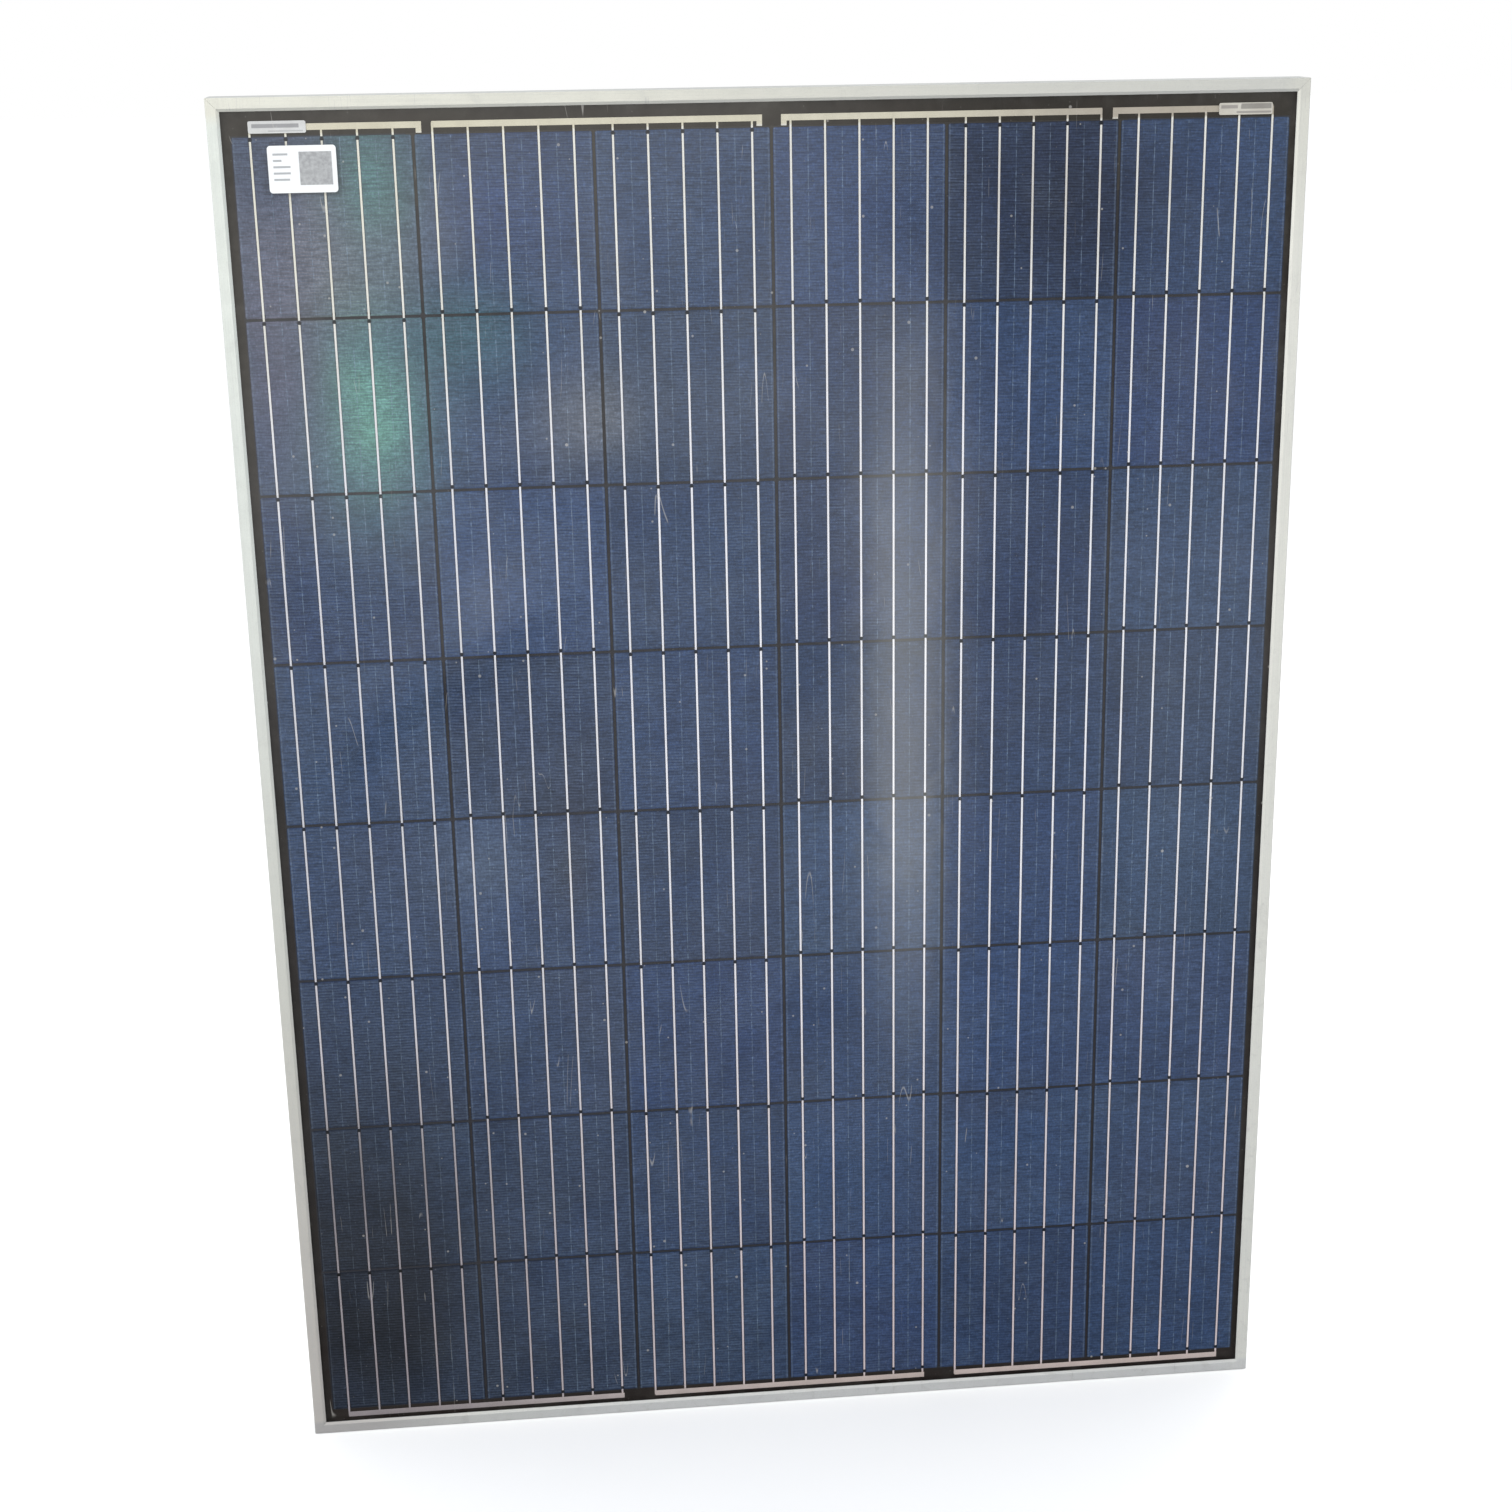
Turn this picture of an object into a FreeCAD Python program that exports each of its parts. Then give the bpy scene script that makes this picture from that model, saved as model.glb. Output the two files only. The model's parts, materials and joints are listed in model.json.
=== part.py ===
import FreeCAD, Part
import os
import math
from FreeCAD import Vector as V

# Framed photovoltaic module, 48 cells (6 x 8), standing upright.
# Row frame: X to the right, Y from the glass side to the rear side, Z up.
# Origin: middle of the bottom edge, at half the frame depth. Millimetres.
# A pair named ..._X, ..._Y or ..._Z is a (low, high) range on that axis.

# Frame
FRAME_W = 992.0            # outer width, X
FRAME_H = 1332.0           # outer height, Z
FRAME_D = 35.0             # outer depth, Y
LIP = 12.0                 # width of the front lip
LIP_BEVEL = 2.6            # bevelled strip of the lip beside the glass
LIP_BEVEL_DROP = 1.1       # depth of that bevel
WALL = 1.6                 # extrusion wall
LIP_T = 1.8                # lip thickness
GROOVE_D = 5.8             # glazing groove, clear depth
SHELF_T = 1.6              # shelf behind the laminate
CHAMBER_REAR = 25.3        # chamber's rear limit, from the front
FLANGE_W = 28.0            # rear flange width
MITRE_GAP = 0.12           # gap along each mitre
MITRE_REACH = 60.0         # how far inward the mitre cutters go
CORNER_R = 1.4             # radius of the four outer frame corners

# Holes in the rear flange
SLOT_INSET = 20.0          # hole centres, inward from the outer face
SLOT_W = 9.0
SLOT_L = 14.0
SLOT_OUTER = 860.0         # spacing of the outer pair
SLOT_INNER = 400.0         # spacing of the inner pair
EARTH_R = 2.1
EARTH_SPACING = 620.0
DRAIN_R = 2.5
DRAIN_X = 440.0
DRILL_Y = 14.5             # all flange holes are cut rearward from here
DRILL_L = 4.0

# Laminate
GAP = 0.02                 # bond line left between touching layers
GLASS_W = 986.0
GLASS_H = 1326.0
GLASS_T = 3.2
CELL = 156.75
CELL_CHAMFER = 1.2
CELL_T = 0.2
COL_PITCH = 159.6
ROW_PITCH = 159.5
N_COL = 6
N_ROW = 8
ARRAY_X = 1.6              # cell field centre
ARRAY_Z = 661.0
RIBBON_PITCH = 31.2
N_RIBBON = 5
RIBBON_W = 1.8
RIBBON_T = 0.2
TOP_BUS_Z = (1303.2, 1308.8)
BOTTOM_BUS_Z = (14.1, 19.8)
# bus ribbons: left and right ends, from the cell field centre
TOP_BUS_X = [(-462.0, -311.3), (-302.3, -8.2), (8.9, 302.4), (312.4, 461.9)]
BOTTOM_BUS_X = [(-462.0, -175.0), (-142.2, 144.0), (176.8, 462.5)]

# Laminate layers, front to rear
GLASS_Y = (-15.35, -15.35 + GLASS_T)
FRONT_RIBBON_Y = -11.77    # front faces of the ribbons
CELL_Y0 = FRONT_RIBBON_Y + RIBBON_T + GAP
CELL_Y = (CELL_Y0, CELL_Y0 + CELL_T)
REAR_RIBBON_Y = CELL_Y[1] + GAP
STRIP_Y0 = REAR_RIBBON_Y + RIBBON_T + GAP
STRIP_Y = (STRIP_Y0, STRIP_Y0 + 0.1)
LEAD_Y = (STRIP_Y[1] + GAP, STRIP_Y[1] + GAP + RIBBON_T)
REAR_ENC_Y = (STRIP_Y0, -10.67)
BACKSHEET_Y = (REAR_ENC_Y[1] + GAP, -10.30)

# Junction box
BOX_W = 116.0
BOX_Z = (1154.0, 1262.0)
BOX_WALL = 2.4
BOX_R = 6.0
PAD_Y = (BACKSHEET_Y[1] + GAP, -9.50)
BASE_Y = (PAD_Y[1] + GAP, 8.9)
BASE_FLOOR = 2.0
LID_Y = (9.2, 11.6)
SEAL_GROOVE = (0.7, 1.7)   # gasket groove in the rim, insets from the outside
SEAL_GROOVE_D = 0.8
SEAL_CLEAR = 0.04
HINGE_Y = 9.0
HINGE_Z = 1266.0
KNUCKLE_R = 3.0
PIN_R = 1.5
PIN_X = (23.4, 44.6)
PLATE_Y = (-3.0, -2.0)
PLATE_X = [-39.0, -13.0, 13.0, 39.0]
LEAD_BOX_X = [-39.0, -9.1, 13.0, 39.0]      # lead ribbons at the terminals
LEAD_BUS_X = [-312.2, -9.1, 13.0, 316.5]    # lead ribbons at the top bus
LEAD_W = 5.0
SLIT_Z = 1245.0
SLIT_CLEAR = 1.5           # slit above and below a lead ribbon

# Glands, cables and connectors
CABLE_X = 36.0
CABLE_Y = 1.5
CABLE_R = 3.0
CORE_R = 1.35
CORE_BORE_R = CORE_R + 0.03
BARREL_Z = (1166.0, 1177.0)  # crimp barrels
SPIGOT_R = 6.0             # spigot that carries a gland nut
GLAND_BORE_R = 4.5         # seal seat in a spigot
CONN_Z = 262.0             # cable-side shoulder of both connectors
CONN_BODY_R = 8.2
FLAT_Y = 7.2               # flats on the connector bodies, from the axis
NOSE_R = 5.9
SLEEVE_R = 4.6             # seat of the plug's nose sleeve in the body
CONTACT_BORE_R = 2.05
CONTACT_PIN_R = 2.0

HALF_W = FRAME_W / 2
FRONT_Y = -FRAME_D / 2
SIDES = (-1, 1)

os.makedirs("parts", exist_ok=True)


# ---- helpers ----
def box(x0, x1, y0, y1, z0, z1):
    """Box between two x in either order, and rising y and z."""
    return Part.makeBox(abs(x1 - x0), y1 - y0, z1 - z0, V(min(x0, x1), y0, z0))


def cyl(radius, base, axis, length):
    return Part.makeCylinder(radius, length, V(*base), V(*axis))


def x_cyl(radius, x0, x1, y, z):
    return cyl(radius, (min(x0, x1), y, z), (1, 0, 0), abs(x1 - x0))


def cable_cyl(x, radius, z0, z1):
    return cyl(radius, (x, CABLE_Y, z0), (0, 0, 1), z1 - z0)


def positive(solid):
    if solid.Volume < 0:
        solid.reverse()
    return solid


def polygon(points):
    return Part.makePolygon(points + [points[0]])


def rounded_wire(outline, place):
    """Closed wire through (a, b, radius) points; place maps (a, b) into space."""
    count = len(outline)
    starts, ends, mids = [], [], []
    for i in range(count):
        a, b, radius = outline[i]
        corner = V(a, b, 0)
        if radius <= 0:
            starts.append(corner)
            ends.append(corner)
            mids.append(None)
            continue
        before, after = outline[i - 1], outline[(i + 1) % count]
        dir0 = (V(before[0], before[1], 0) - corner).normalize()
        dir1 = (V(after[0], after[1], 0) - corner).normalize()
        half = dir0.getAngle(dir1) / 2.0
        tangent = radius / math.tan(half)
        centre = corner + (dir0 + dir1).normalize() * (radius / math.sin(half))
        starts.append(corner + dir0 * tangent)
        ends.append(corner + dir1 * tangent)
        mids.append(centre + (corner - centre).normalize() * radius)
    edges = []
    for i in range(count):
        if mids[i] is not None:
            arc = Part.Arc(place(starts[i]), place(mids[i]), place(ends[i]))
            edges.append(arc.toShape())
        a, b = ends[i], starts[(i + 1) % count]
        if (a - b).Length > 1e-6:
            edges.append(Part.LineSegment(place(a), place(b)).toShape())
    return Part.Wire(edges)


def prism(outline, place, direction):
    return positive(Part.Face(rounded_wire(outline, place)).extrude(direction))


def rect(a0, a1, b0, b1, radius=0.0):
    return [(a0, b0, radius), (a1, b0, radius), (a1, b1, radius), (a0, b1, radius)]


def xz_prism(outline, y0, y1, hole=None):
    """Plate with an outline in X and Z, and one optional through hole."""
    solid = prism(outline, lambda p: V(p.x, y0, p.y), V(0, y1 - y0, 0))
    if hole:
        solid = solid.cut(prism(hole, lambda p: V(p.x, y0 - 1, p.y), V(0, y1 - y0 + 2, 0)))
    return solid


def bent_strip(x, width, path):
    """Strip RIBBON_T thick, centred on x; path is (z, y) along its front side."""
    front = [V(x - width / 2, y, z) for z, y in path]
    rear = [V(x - width / 2, y + RIBBON_T, z) for z, y in reversed(path)]
    return positive(Part.Face(polygon(front + rear)).extrude(V(width, 0, 0)))


def fuse(shapes):
    return shapes[0].fuse(list(shapes[1:])).removeSplitter()


def save(name, shapes):
    if not isinstance(shapes, (list, tuple)):
        shapes = [shapes]
    solids = [solid for shape in shapes for solid in shape.Solids]
    for solid in solids:
        if not solid.isValid() or solid.Volume <= 0:
            raise RuntimeError("bad solid in " + name)
    piece = solids[0] if len(solids) == 1 else Part.makeCompound(solids)
    piece.exportStep("parts/" + name + ".step")


def edge_x(side, inset):
    """X at an inset from the left (-1) or right (1) outer face."""
    return side * (HALF_W - inset)


def edge_z(side, inset):
    """Z at an inset from the bottom (-1) or top (1) outer face."""
    return inset if side < 0 else FRAME_H - inset


def ring(inset0, inset1, y0, y1):
    """Rectangular ring between two insets from the outer frame size."""
    outer = box(-HALF_W + inset0, HALF_W - inset0, y0, y1, inset0, FRAME_H - inset0)
    inner = box(-HALF_W + inset1, HALF_W - inset1, y0 - 1, y1 + 1, inset1, FRAME_H - inset1)
    return outer.cut(inner)


# ---- frame rails: one extrusion profile, mitred at 45 degrees at both ends ----
groove_rear = LIP_T + GROOVE_D
shelf_rear = groove_rear + SHELF_T
# columns: inward from the outer face, rearward from the front, corner radius
PROFILE = [
    (0.0, 0.0, 0.9), (LIP - LIP_BEVEL, 0.0, 0.5), (LIP, LIP_BEVEL_DROP, 0.25),
    (LIP, LIP_T, 0.0), (WALL, LIP_T, 0.0), (WALL, groove_rear, 0.0), (LIP, groove_rear, 0.3),
    (LIP, CHAMBER_REAR + WALL, 0.6), (WALL, CHAMBER_REAR + WALL, 0.8),
    (WALL, FRAME_D - WALL, 0.8), (FLANGE_W, FRAME_D - WALL, 0.6),
    (FLANGE_W, FRAME_D, 0.6), (0.0, FRAME_D, 0.9),
]
CHAMBER = rect(WALL, LIP - WALL, shelf_rear, CHAMBER_REAR, 0.2)
CUT_Y = (FRONT_Y - 1, -FRONT_Y + 1)
mitre_shift = MITRE_GAP / 2.0 * math.sqrt(2.0)
corner_prism = xz_prism(rect(-HALF_W, HALF_W, 0.0, FRAME_H, CORNER_R), *CUT_Y)


def rail(place, length_dir, mitre_outline):
    solid = prism(PROFILE, place, length_dir).cut(prism(CHAMBER, place, length_dir))
    return solid.common(xz_prism(mitre_outline, *CUT_Y)).common(corner_prism)


def flange_hole(radius, x, z):
    return cyl(radius, (x, DRILL_Y, z), (0, 1, 0), DRILL_L)


def flange_slot(x, z):
    half = (SLOT_L - SLOT_W) / 2
    cutter = box(x - SLOT_W / 2, x + SLOT_W / 2, DRILL_Y, DRILL_Y + DRILL_L, z - half, z + half)
    for end in SIDES:
        cutter = cutter.fuse(flange_hole(SLOT_W / 2, x, z + end * half))
    return cutter.removeSplitter()


def side_rail(side):
    corners = [(-1, -1 + mitre_shift), (MITRE_REACH, MITRE_REACH + mitre_shift),
               (MITRE_REACH, FRAME_H - MITRE_REACH - mitre_shift),
               (-1, FRAME_H + 1 - mitre_shift)]
    solid = rail(lambda p: V(edge_x(side, p.x), FRONT_Y + p.y, 0), V(0, 0, FRAME_H),
                 [(edge_x(side, inset), z, 0) for inset, z in corners])
    x, mid_z = edge_x(side, SLOT_INSET), FRAME_H / 2
    for dz in (-SLOT_OUTER / 2, -SLOT_INNER / 2, SLOT_INNER / 2, SLOT_OUTER / 2):
        solid = solid.cut(flange_slot(x, mid_z + dz))
    for dz in (-EARTH_SPACING / 2, EARTH_SPACING / 2):
        solid = solid.cut(flange_hole(EARTH_R, x, mid_z + dz))
    return solid


def end_rail(side):
    outer_z = edge_z(side, -1 - mitre_shift)
    inner_z = edge_z(side, MITRE_REACH - mitre_shift)
    outer_x, inner_x = HALF_W + 1, HALF_W - MITRE_REACH
    solid = rail(lambda p: V(-HALF_W, FRONT_Y + p.y, edge_z(side, p.x)), V(FRAME_W, 0, 0),
                 [(-outer_x, outer_z, 0), (outer_x, outer_z, 0),
                  (inner_x, inner_z, 0), (-inner_x, inner_z, 0)])
    for sx in SIDES:
        solid = solid.cut(flange_hole(DRAIN_R, sx * DRAIN_X, edge_z(side, SLOT_INSET)))
    return solid


save("frame_rail_left", side_rail(-1))
save("frame_rail_right", side_rail(1))
save("frame_rail_bottom", end_rail(-1))
save("frame_rail_top", end_rail(1))

# ---- corner keys: an L-shaped key in the chambers at each corner ----
KEY_CLEAR = 0.12
KEY_ARM = 52.0             # arm end, inward from the outer face
BARB_L = 1.6
BARB_D = 0.8
BARB_TIPS = [46.0 - 7.0 * k for k in range(4)]
key_out, key_in = WALL + KEY_CLEAR, LIP - WALL - KEY_CLEAR
# one arm as insets from the two outer faces; the other arm mirrors it
key_arm = [(key_out, key_out), (KEY_ARM, key_out), (KEY_ARM, key_in)]
for tip in BARB_TIPS:
    key_arm += [(tip, key_in), (tip - BARB_L, key_in - BARB_D), (tip - BARB_L, key_in)]
key_arm.append((key_in, key_in))
key_outline = key_arm + [(b, a) for a, b in reversed(key_arm[1:-1])]
save("corner_keys", [
    xz_prism([(edge_x(sx, a), edge_z(sz, b), 0) for a, b in key_outline],
             FRONT_Y + shelf_rear + KEY_CLEAR, FRONT_Y + CHAMBER_REAR - KEY_CLEAR)
    for sx in SIDES for sz in SIDES])

# ---- glass and edge sealant ----
SHEET_X = (-GLASS_W / 2, GLASS_W / 2)
SHEET_Z = ((FRAME_H - GLASS_H) / 2, (FRAME_H + GLASS_H) / 2)
SHEET_R = 1.0
SHEET_INSET = (FRAME_W - GLASS_W) / 2
save("front_glass", xz_prism(rect(*SHEET_X, *SHEET_Z, SHEET_R), *GLASS_Y))


def edge_sealant():
    """U in the groove, thin in front of the glass, bevelled bead at the rear."""
    y0, y1 = FRONT_Y + LIP_T + GAP, FRONT_Y + groove_rear - GAP
    glass_side, rear_side = GLASS_Y[0] - GAP, BACKSHEET_Y[1] + GAP
    sheet_edge = SHEET_INSET - GAP
    lip_edge = LIP + GAP
    bead_rear = FRONT_Y + shelf_rear - 0.5
    bead = box(-HALF_W + lip_edge, HALF_W - lip_edge, rear_side, bead_rear,
               lip_edge, FRAME_H - lip_edge)

    def rect_wire(inset, y):
        return polygon([V(-HALF_W + inset, y, inset), V(HALF_W - inset, y, inset),
                        V(HALF_W - inset, y, FRAME_H - inset),
                        V(-HALF_W + inset, y, FRAME_H - inset)])

    opening = Part.makeLoft([rect_wire(LIP + 3.0, rear_side - 0.24),
                             rect_wire(LIP + 0.1, bead_rear + 0.2)], True, True)
    return fuse([ring(WALL + GAP, sheet_edge, y0, y1),
                 ring(sheet_edge, LIP - 0.6, y0, glass_side),
                 ring(sheet_edge, lip_edge, rear_side, y1),
                 bead.cut(opening)])


save("edge_sealant", edge_sealant())

# ---- front encapsulant, labels and sticker ----
# labels behind the glass: left, right, bottom, top
LABEL_LEFT = (-460.7, -410.4, 1301.0, 1311.5)
LABEL_RIGHT = (412.6, 462.6, 1300.5, 1311.0)
LABEL_Y = (GLASS_Y[1] + GAP, GLASS_Y[1] + GAP + 0.10)
LABEL_R = 1.6
LABEL_CLEAR = 0.1
RIM_INSET = 11.0           # inner edge of the rim round the cell field
STICKER = (-445.4, -385.4, 1250.0, 1290.6)
STICKER_R = 3.0
STICKER_T = 0.12


def front_encapsulant():
    y0, y1 = GLASS_Y[1] + GAP, FRONT_RIBBON_Y - GAP
    sheet = fuse([box(*SHEET_X, y0, y1, *SHEET_Z),
                  ring(SHEET_INSET, RIM_INSET, y1 - 0.05, REAR_ENC_Y[0] - GAP)])
    for x0, x1, z0, z1 in (LABEL_LEFT, LABEL_RIGHT):
        sheet = sheet.cut(box(x0 - LABEL_CLEAR, x1 + LABEL_CLEAR, y0 - 0.5, LABEL_Y[1] + GAP,
                              z0 - LABEL_CLEAR, z1 + LABEL_CLEAR))
    return sheet


save("front_encapsulant", front_encapsulant())
save("laminated_label_left", xz_prism(rect(*LABEL_LEFT, LABEL_R), *LABEL_Y))
save("laminated_label_right", xz_prism(rect(*LABEL_RIGHT, LABEL_R), *LABEL_Y))
save("front_sticker", xz_prism(rect(*STICKER, STICKER_R),
                               GLASS_Y[0] - GAP - STICKER_T, GLASS_Y[0] - GAP))

# ---- cells and interconnect ribbons ----
HALF_CELL = CELL / 2
BEND_CLEAR = 0.5           # bends start this far outside the cell edge
BUS_INSET = 1.2            # ribbon ends, inside the bus ribbon's outer edge
# ribbon layers: y of the front face, distance of the end inside the cell edge
FRONT_LAYER = (FRONT_RIBBON_Y, 3.6)
REAR_LAYER = (REAR_RIBBON_Y, 8.0)


def row_z(row):
    """Rows count from the top."""
    return ARRAY_Z + ((N_ROW - 1) / 2 - row) * ROW_PITCH


def col_x(col):
    return ARRAY_X + (col - (N_COL - 1) / 2) * COL_PITCH


def cell(x, z):
    far, near = HALF_CELL, HALF_CELL - CELL_CHAMFER
    corners = [(-near, -far), (near, -far), (far, -near), (far, near),
               (near, far), (-near, far), (-far, near), (-far, -near)]
    return xz_prism([(x + dx, z + dz, 0) for dx, dz in corners], *CELL_Y)


def ribbon_line(x, upper, lower):
    """Ribbons down one string; each starts in layer upper, ends in layer lower."""
    upper_y, upper_inset = upper
    lower_y, lower_inset = lower
    paths = [[(TOP_BUS_Z[1] - BUS_INSET, lower_y),
              (row_z(0) - HALF_CELL + lower_inset, lower_y)]]
    for row in range(N_ROW - 1):
        z1, z2 = row_z(row), row_z(row + 1)
        paths.append([(z1 + HALF_CELL - upper_inset, upper_y),
                      (z1 - HALF_CELL - BEND_CLEAR, upper_y),
                      (z2 + HALF_CELL + BEND_CLEAR, lower_y),
                      (z2 - HALF_CELL + lower_inset, lower_y)])
    paths.append([(row_z(N_ROW - 1) + HALF_CELL - upper_inset, upper_y),
                  (BOTTOM_BUS_Z[0] + BUS_INSET, upper_y)])
    return [bent_strip(x, RIBBON_W, path) for path in paths]


# In strings 1, 3 and 5 a ribbon lies on the front of a cell and dives behind
# the cell below; in strings 2, 4 and 6 it dives behind the cell above.
for col in range(N_COL):
    save("cell_string_%d" % (col + 1), [cell(col_x(col), row_z(row)) for row in range(N_ROW)])
    layers = (FRONT_LAYER, REAR_LAYER) if col % 2 == 0 else (REAR_LAYER, FRONT_LAYER)
    ribbons = []
    for k in range(N_RIBBON):
        x = col_x(col) + (k - (N_RIBBON - 1) / 2) * RIBBON_PITCH
        ribbons += ribbon_line(x, *layers)
    save("cell_ribbons_%d" % (col + 1), ribbons)

for name, spans, bus_z in (("top_bus_ribbons", TOP_BUS_X, TOP_BUS_Z),
                           ("bottom_bus_ribbons", BOTTOM_BUS_X, BOTTOM_BUS_Z)):
    save(name, [box(ARRAY_X + a, ARRAY_X + b, *CELL_Y, *bus_z) for a, b in spans])

# ---- lead ribbons: soldered behind the ends of the top bus ribbons, run behind
# the cells to the box, pass a slit in the backsheet and lie on the terminals ----
CROSS_Z = (1281.0, 1286.0)     # sideways run
LEAD_END_Z = 1228.0            # lower end on the terminal
STRIP_X = (-324.0, 328.0)      # insulation strip between cells and leads
STRIP_Z = (1236.0, 1299.0)
WINDOW_CLEAR = 0.2
HALF_LEAD = LEAD_W / 2
# ribbon lying on a terminal plate
ON_PLATE_Y = (PLATE_Y[1] + GAP, PLATE_Y[1] + GAP + RIBBON_T)


def cross_span(bus_x, box_x):
    return min(bus_x, box_x) - HALF_LEAD, max(bus_x, box_x) + HALF_LEAD


def lead_ribbon(bus_x, box_x):
    bits = [bent_strip(bus_x, LEAD_W, [(TOP_BUS_Z[1] - 0.6, REAR_RIBBON_Y),
                                       (1301.6, REAR_RIBBON_Y),
                                       (1299.6, LEAD_Y[0]), (1284.0, LEAD_Y[0])])]
    if bus_x != box_x:
        bits.append(box(*cross_span(bus_x, box_x), *LEAD_Y, *CROSS_Z))
    x0, x1 = box_x - HALF_LEAD, box_x + HALF_LEAD
    bits.append(box(x0, x1, *LEAD_Y, SLIT_Z, CROSS_Z[1]))
    bits.append(box(x0, x1, LEAD_Y[0], ON_PLATE_Y[1], SLIT_Z, SLIT_Z + RIBBON_T))
    bits.append(box(x0, x1, *ON_PLATE_Y, LEAD_END_Z, SLIT_Z + RIBBON_T))
    return fuse(bits)


def window(x0, x1, z0, z1):
    return box(x0 - WINDOW_CLEAR, x1 + WINDOW_CLEAR,
               REAR_ENC_Y[0] - 0.5, LEAD_Y[1] + GAP, z0, z1)


def lead_windows(bus_x, box_x):
    """Room for one lead ribbon in the rear encapsulant."""
    cutters = [window(bus_x - HALF_LEAD, bus_x + HALF_LEAD,
                      CROSS_Z[0], TOP_BUS_Z[1] + WINDOW_CLEAR)]
    if bus_x != box_x:
        cutters.append(window(*cross_span(bus_x, box_x),
                              CROSS_Z[0] - WINDOW_CLEAR, CROSS_Z[1] + WINDOW_CLEAR))
    cutters.append(window(box_x - HALF_LEAD, box_x + HALF_LEAD,
                          SLIT_Z - SLIT_CLEAR, CROSS_Z[1]))
    return cutters


lead_places = list(zip(LEAD_BUS_X, LEAD_BOX_X))
save("junction_lead_ribbons", [lead_ribbon(*xs) for xs in lead_places])
save("lead_insulation_strip", box(*STRIP_X, *STRIP_Y, *STRIP_Z))

# ---- rear encapsulant, backsheet and rating label ----
rear_enc = box(*SHEET_X, *REAR_ENC_Y, *SHEET_Z)
rear_enc = rear_enc.cut(box(STRIP_X[0] - WINDOW_CLEAR, STRIP_X[1] + WINDOW_CLEAR,
                            STRIP_Y[0] - 0.5, STRIP_Y[1] + GAP,
                            STRIP_Z[0] - WINDOW_CLEAR, STRIP_Z[1] + WINDOW_CLEAR))
for xs in lead_places:
    for cutter in lead_windows(*xs):
        rear_enc = rear_enc.cut(cutter)
backsheet = xz_prism(rect(*SHEET_X, *SHEET_Z, SHEET_R), *BACKSHEET_Y)
for x in LEAD_BOX_X:
    slit = box(x - HALF_LEAD - 1, x + HALF_LEAD + 1, -12.0, -10.0,
               SLIT_Z - SLIT_CLEAR, SLIT_Z + RIBBON_T + SLIT_CLEAR)
    rear_enc = rear_enc.cut(slit)
    backsheet = backsheet.cut(slit)
save("rear_encapsulant", rear_enc)
save("backsheet", backsheet)
save("rating_label", xz_prism(rect(-330.0, -170.0, 1060.0, 1160.0, 2.0),
                              BACKSHEET_Y[1] + GAP, BACKSHEET_Y[1] + GAP + 0.12))

# ---- junction box shell ----
box_bottom, box_top = BOX_Z
LEAD_SLOT = rect(-48.0, 48.0, SLIT_Z - 6.0, SLIT_Z + 6.0, 2.0)
POST_Z = (1187.0, 1215.0)              # lower ends of the plate posts
POST_H = 7.0
EARS_X = [(24.0, 29.8), (38.2, 44.0)]  # base knuckles, from the middle
LID_KNUCKLE_X = (30.0, 38.0)


def box_rect(inset):
    return rect(-BOX_W / 2 + inset, BOX_W / 2 - inset, box_bottom + inset, box_top - inset,
                max(BOX_R - inset, 0.8))


def knuckle(x0, x1):
    return x_cyl(KNUCKLE_R, x0, x1, HINGE_Y, HINGE_Z)


def jbox_base():
    floor_y = BASE_Y[0] + BASE_FLOOR
    base = xz_prism(box_rect(0.0), *BASE_Y)
    base = base.cut(xz_prism(box_rect(BOX_WALL), floor_y, BASE_Y[1] + 1))
    base = base.cut(xz_prism(LEAD_SLOT, BASE_Y[0] - 1, floor_y + 1))
    base = base.cut(xz_prism(box_rect(SEAL_GROOVE[0]), BASE_Y[1] - SEAL_GROOVE_D,
                             BASE_Y[1] + 1, box_rect(SEAL_GROOVE[1])))
    adds = []
    # posts under the terminal plates
    for x in PLATE_X:
        for z in POST_Z:
            adds.append(box(x - 4, x + 4, floor_y - 0.5, PLATE_Y[0] - GAP, z, z + POST_H))
    # hinge ears on the top wall
    for side in SIDES:
        for x0, x1 in EARS_X:
            ear = box(side * x0, side * x1, HINGE_Y - 3.0, HINGE_Y, box_top - 0.4, HINGE_Z)
            adds.append(ear.fuse(knuckle(side * x0, side * x1)))
    # latch nib on the bottom wall
    adds.append(box(-7.6, 7.6, 4.0, 7.4, box_bottom - 1.5, box_bottom + 1.0))
    # gland spigots with a stiffening rib on either side
    for side in SIDES:
        x = side * CABLE_X
        adds.append(cyl(SPIGOT_R, (x, CABLE_Y, box_bottom + 0.5), (0, 0, -1), 12.5))
        for dx in (-11.5, 11.5):
            adds.append(box(x + dx - 0.9, x + dx + 0.9, -9.0, 7.6,
                            box_bottom - 5.0, box_bottom + 0.5))
    base = fuse([base] + adds)
    # pin holes, cable holes and seal seats
    for side in SIDES:
        base = base.cut(x_cyl(PIN_R + 0.02, side * 20.0, side * 48.0, HINGE_Y, HINGE_Z))
        x = side * CABLE_X
        base = base.cut(cyl(3.3, (x, CABLE_Y, box_bottom + 6.0), (0, 0, -1), 20.0))
        base = base.cut(cyl(GLAND_BORE_R, (x, CABLE_Y, box_bottom), (0, 0, -1), 20.0))
    return base


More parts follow.
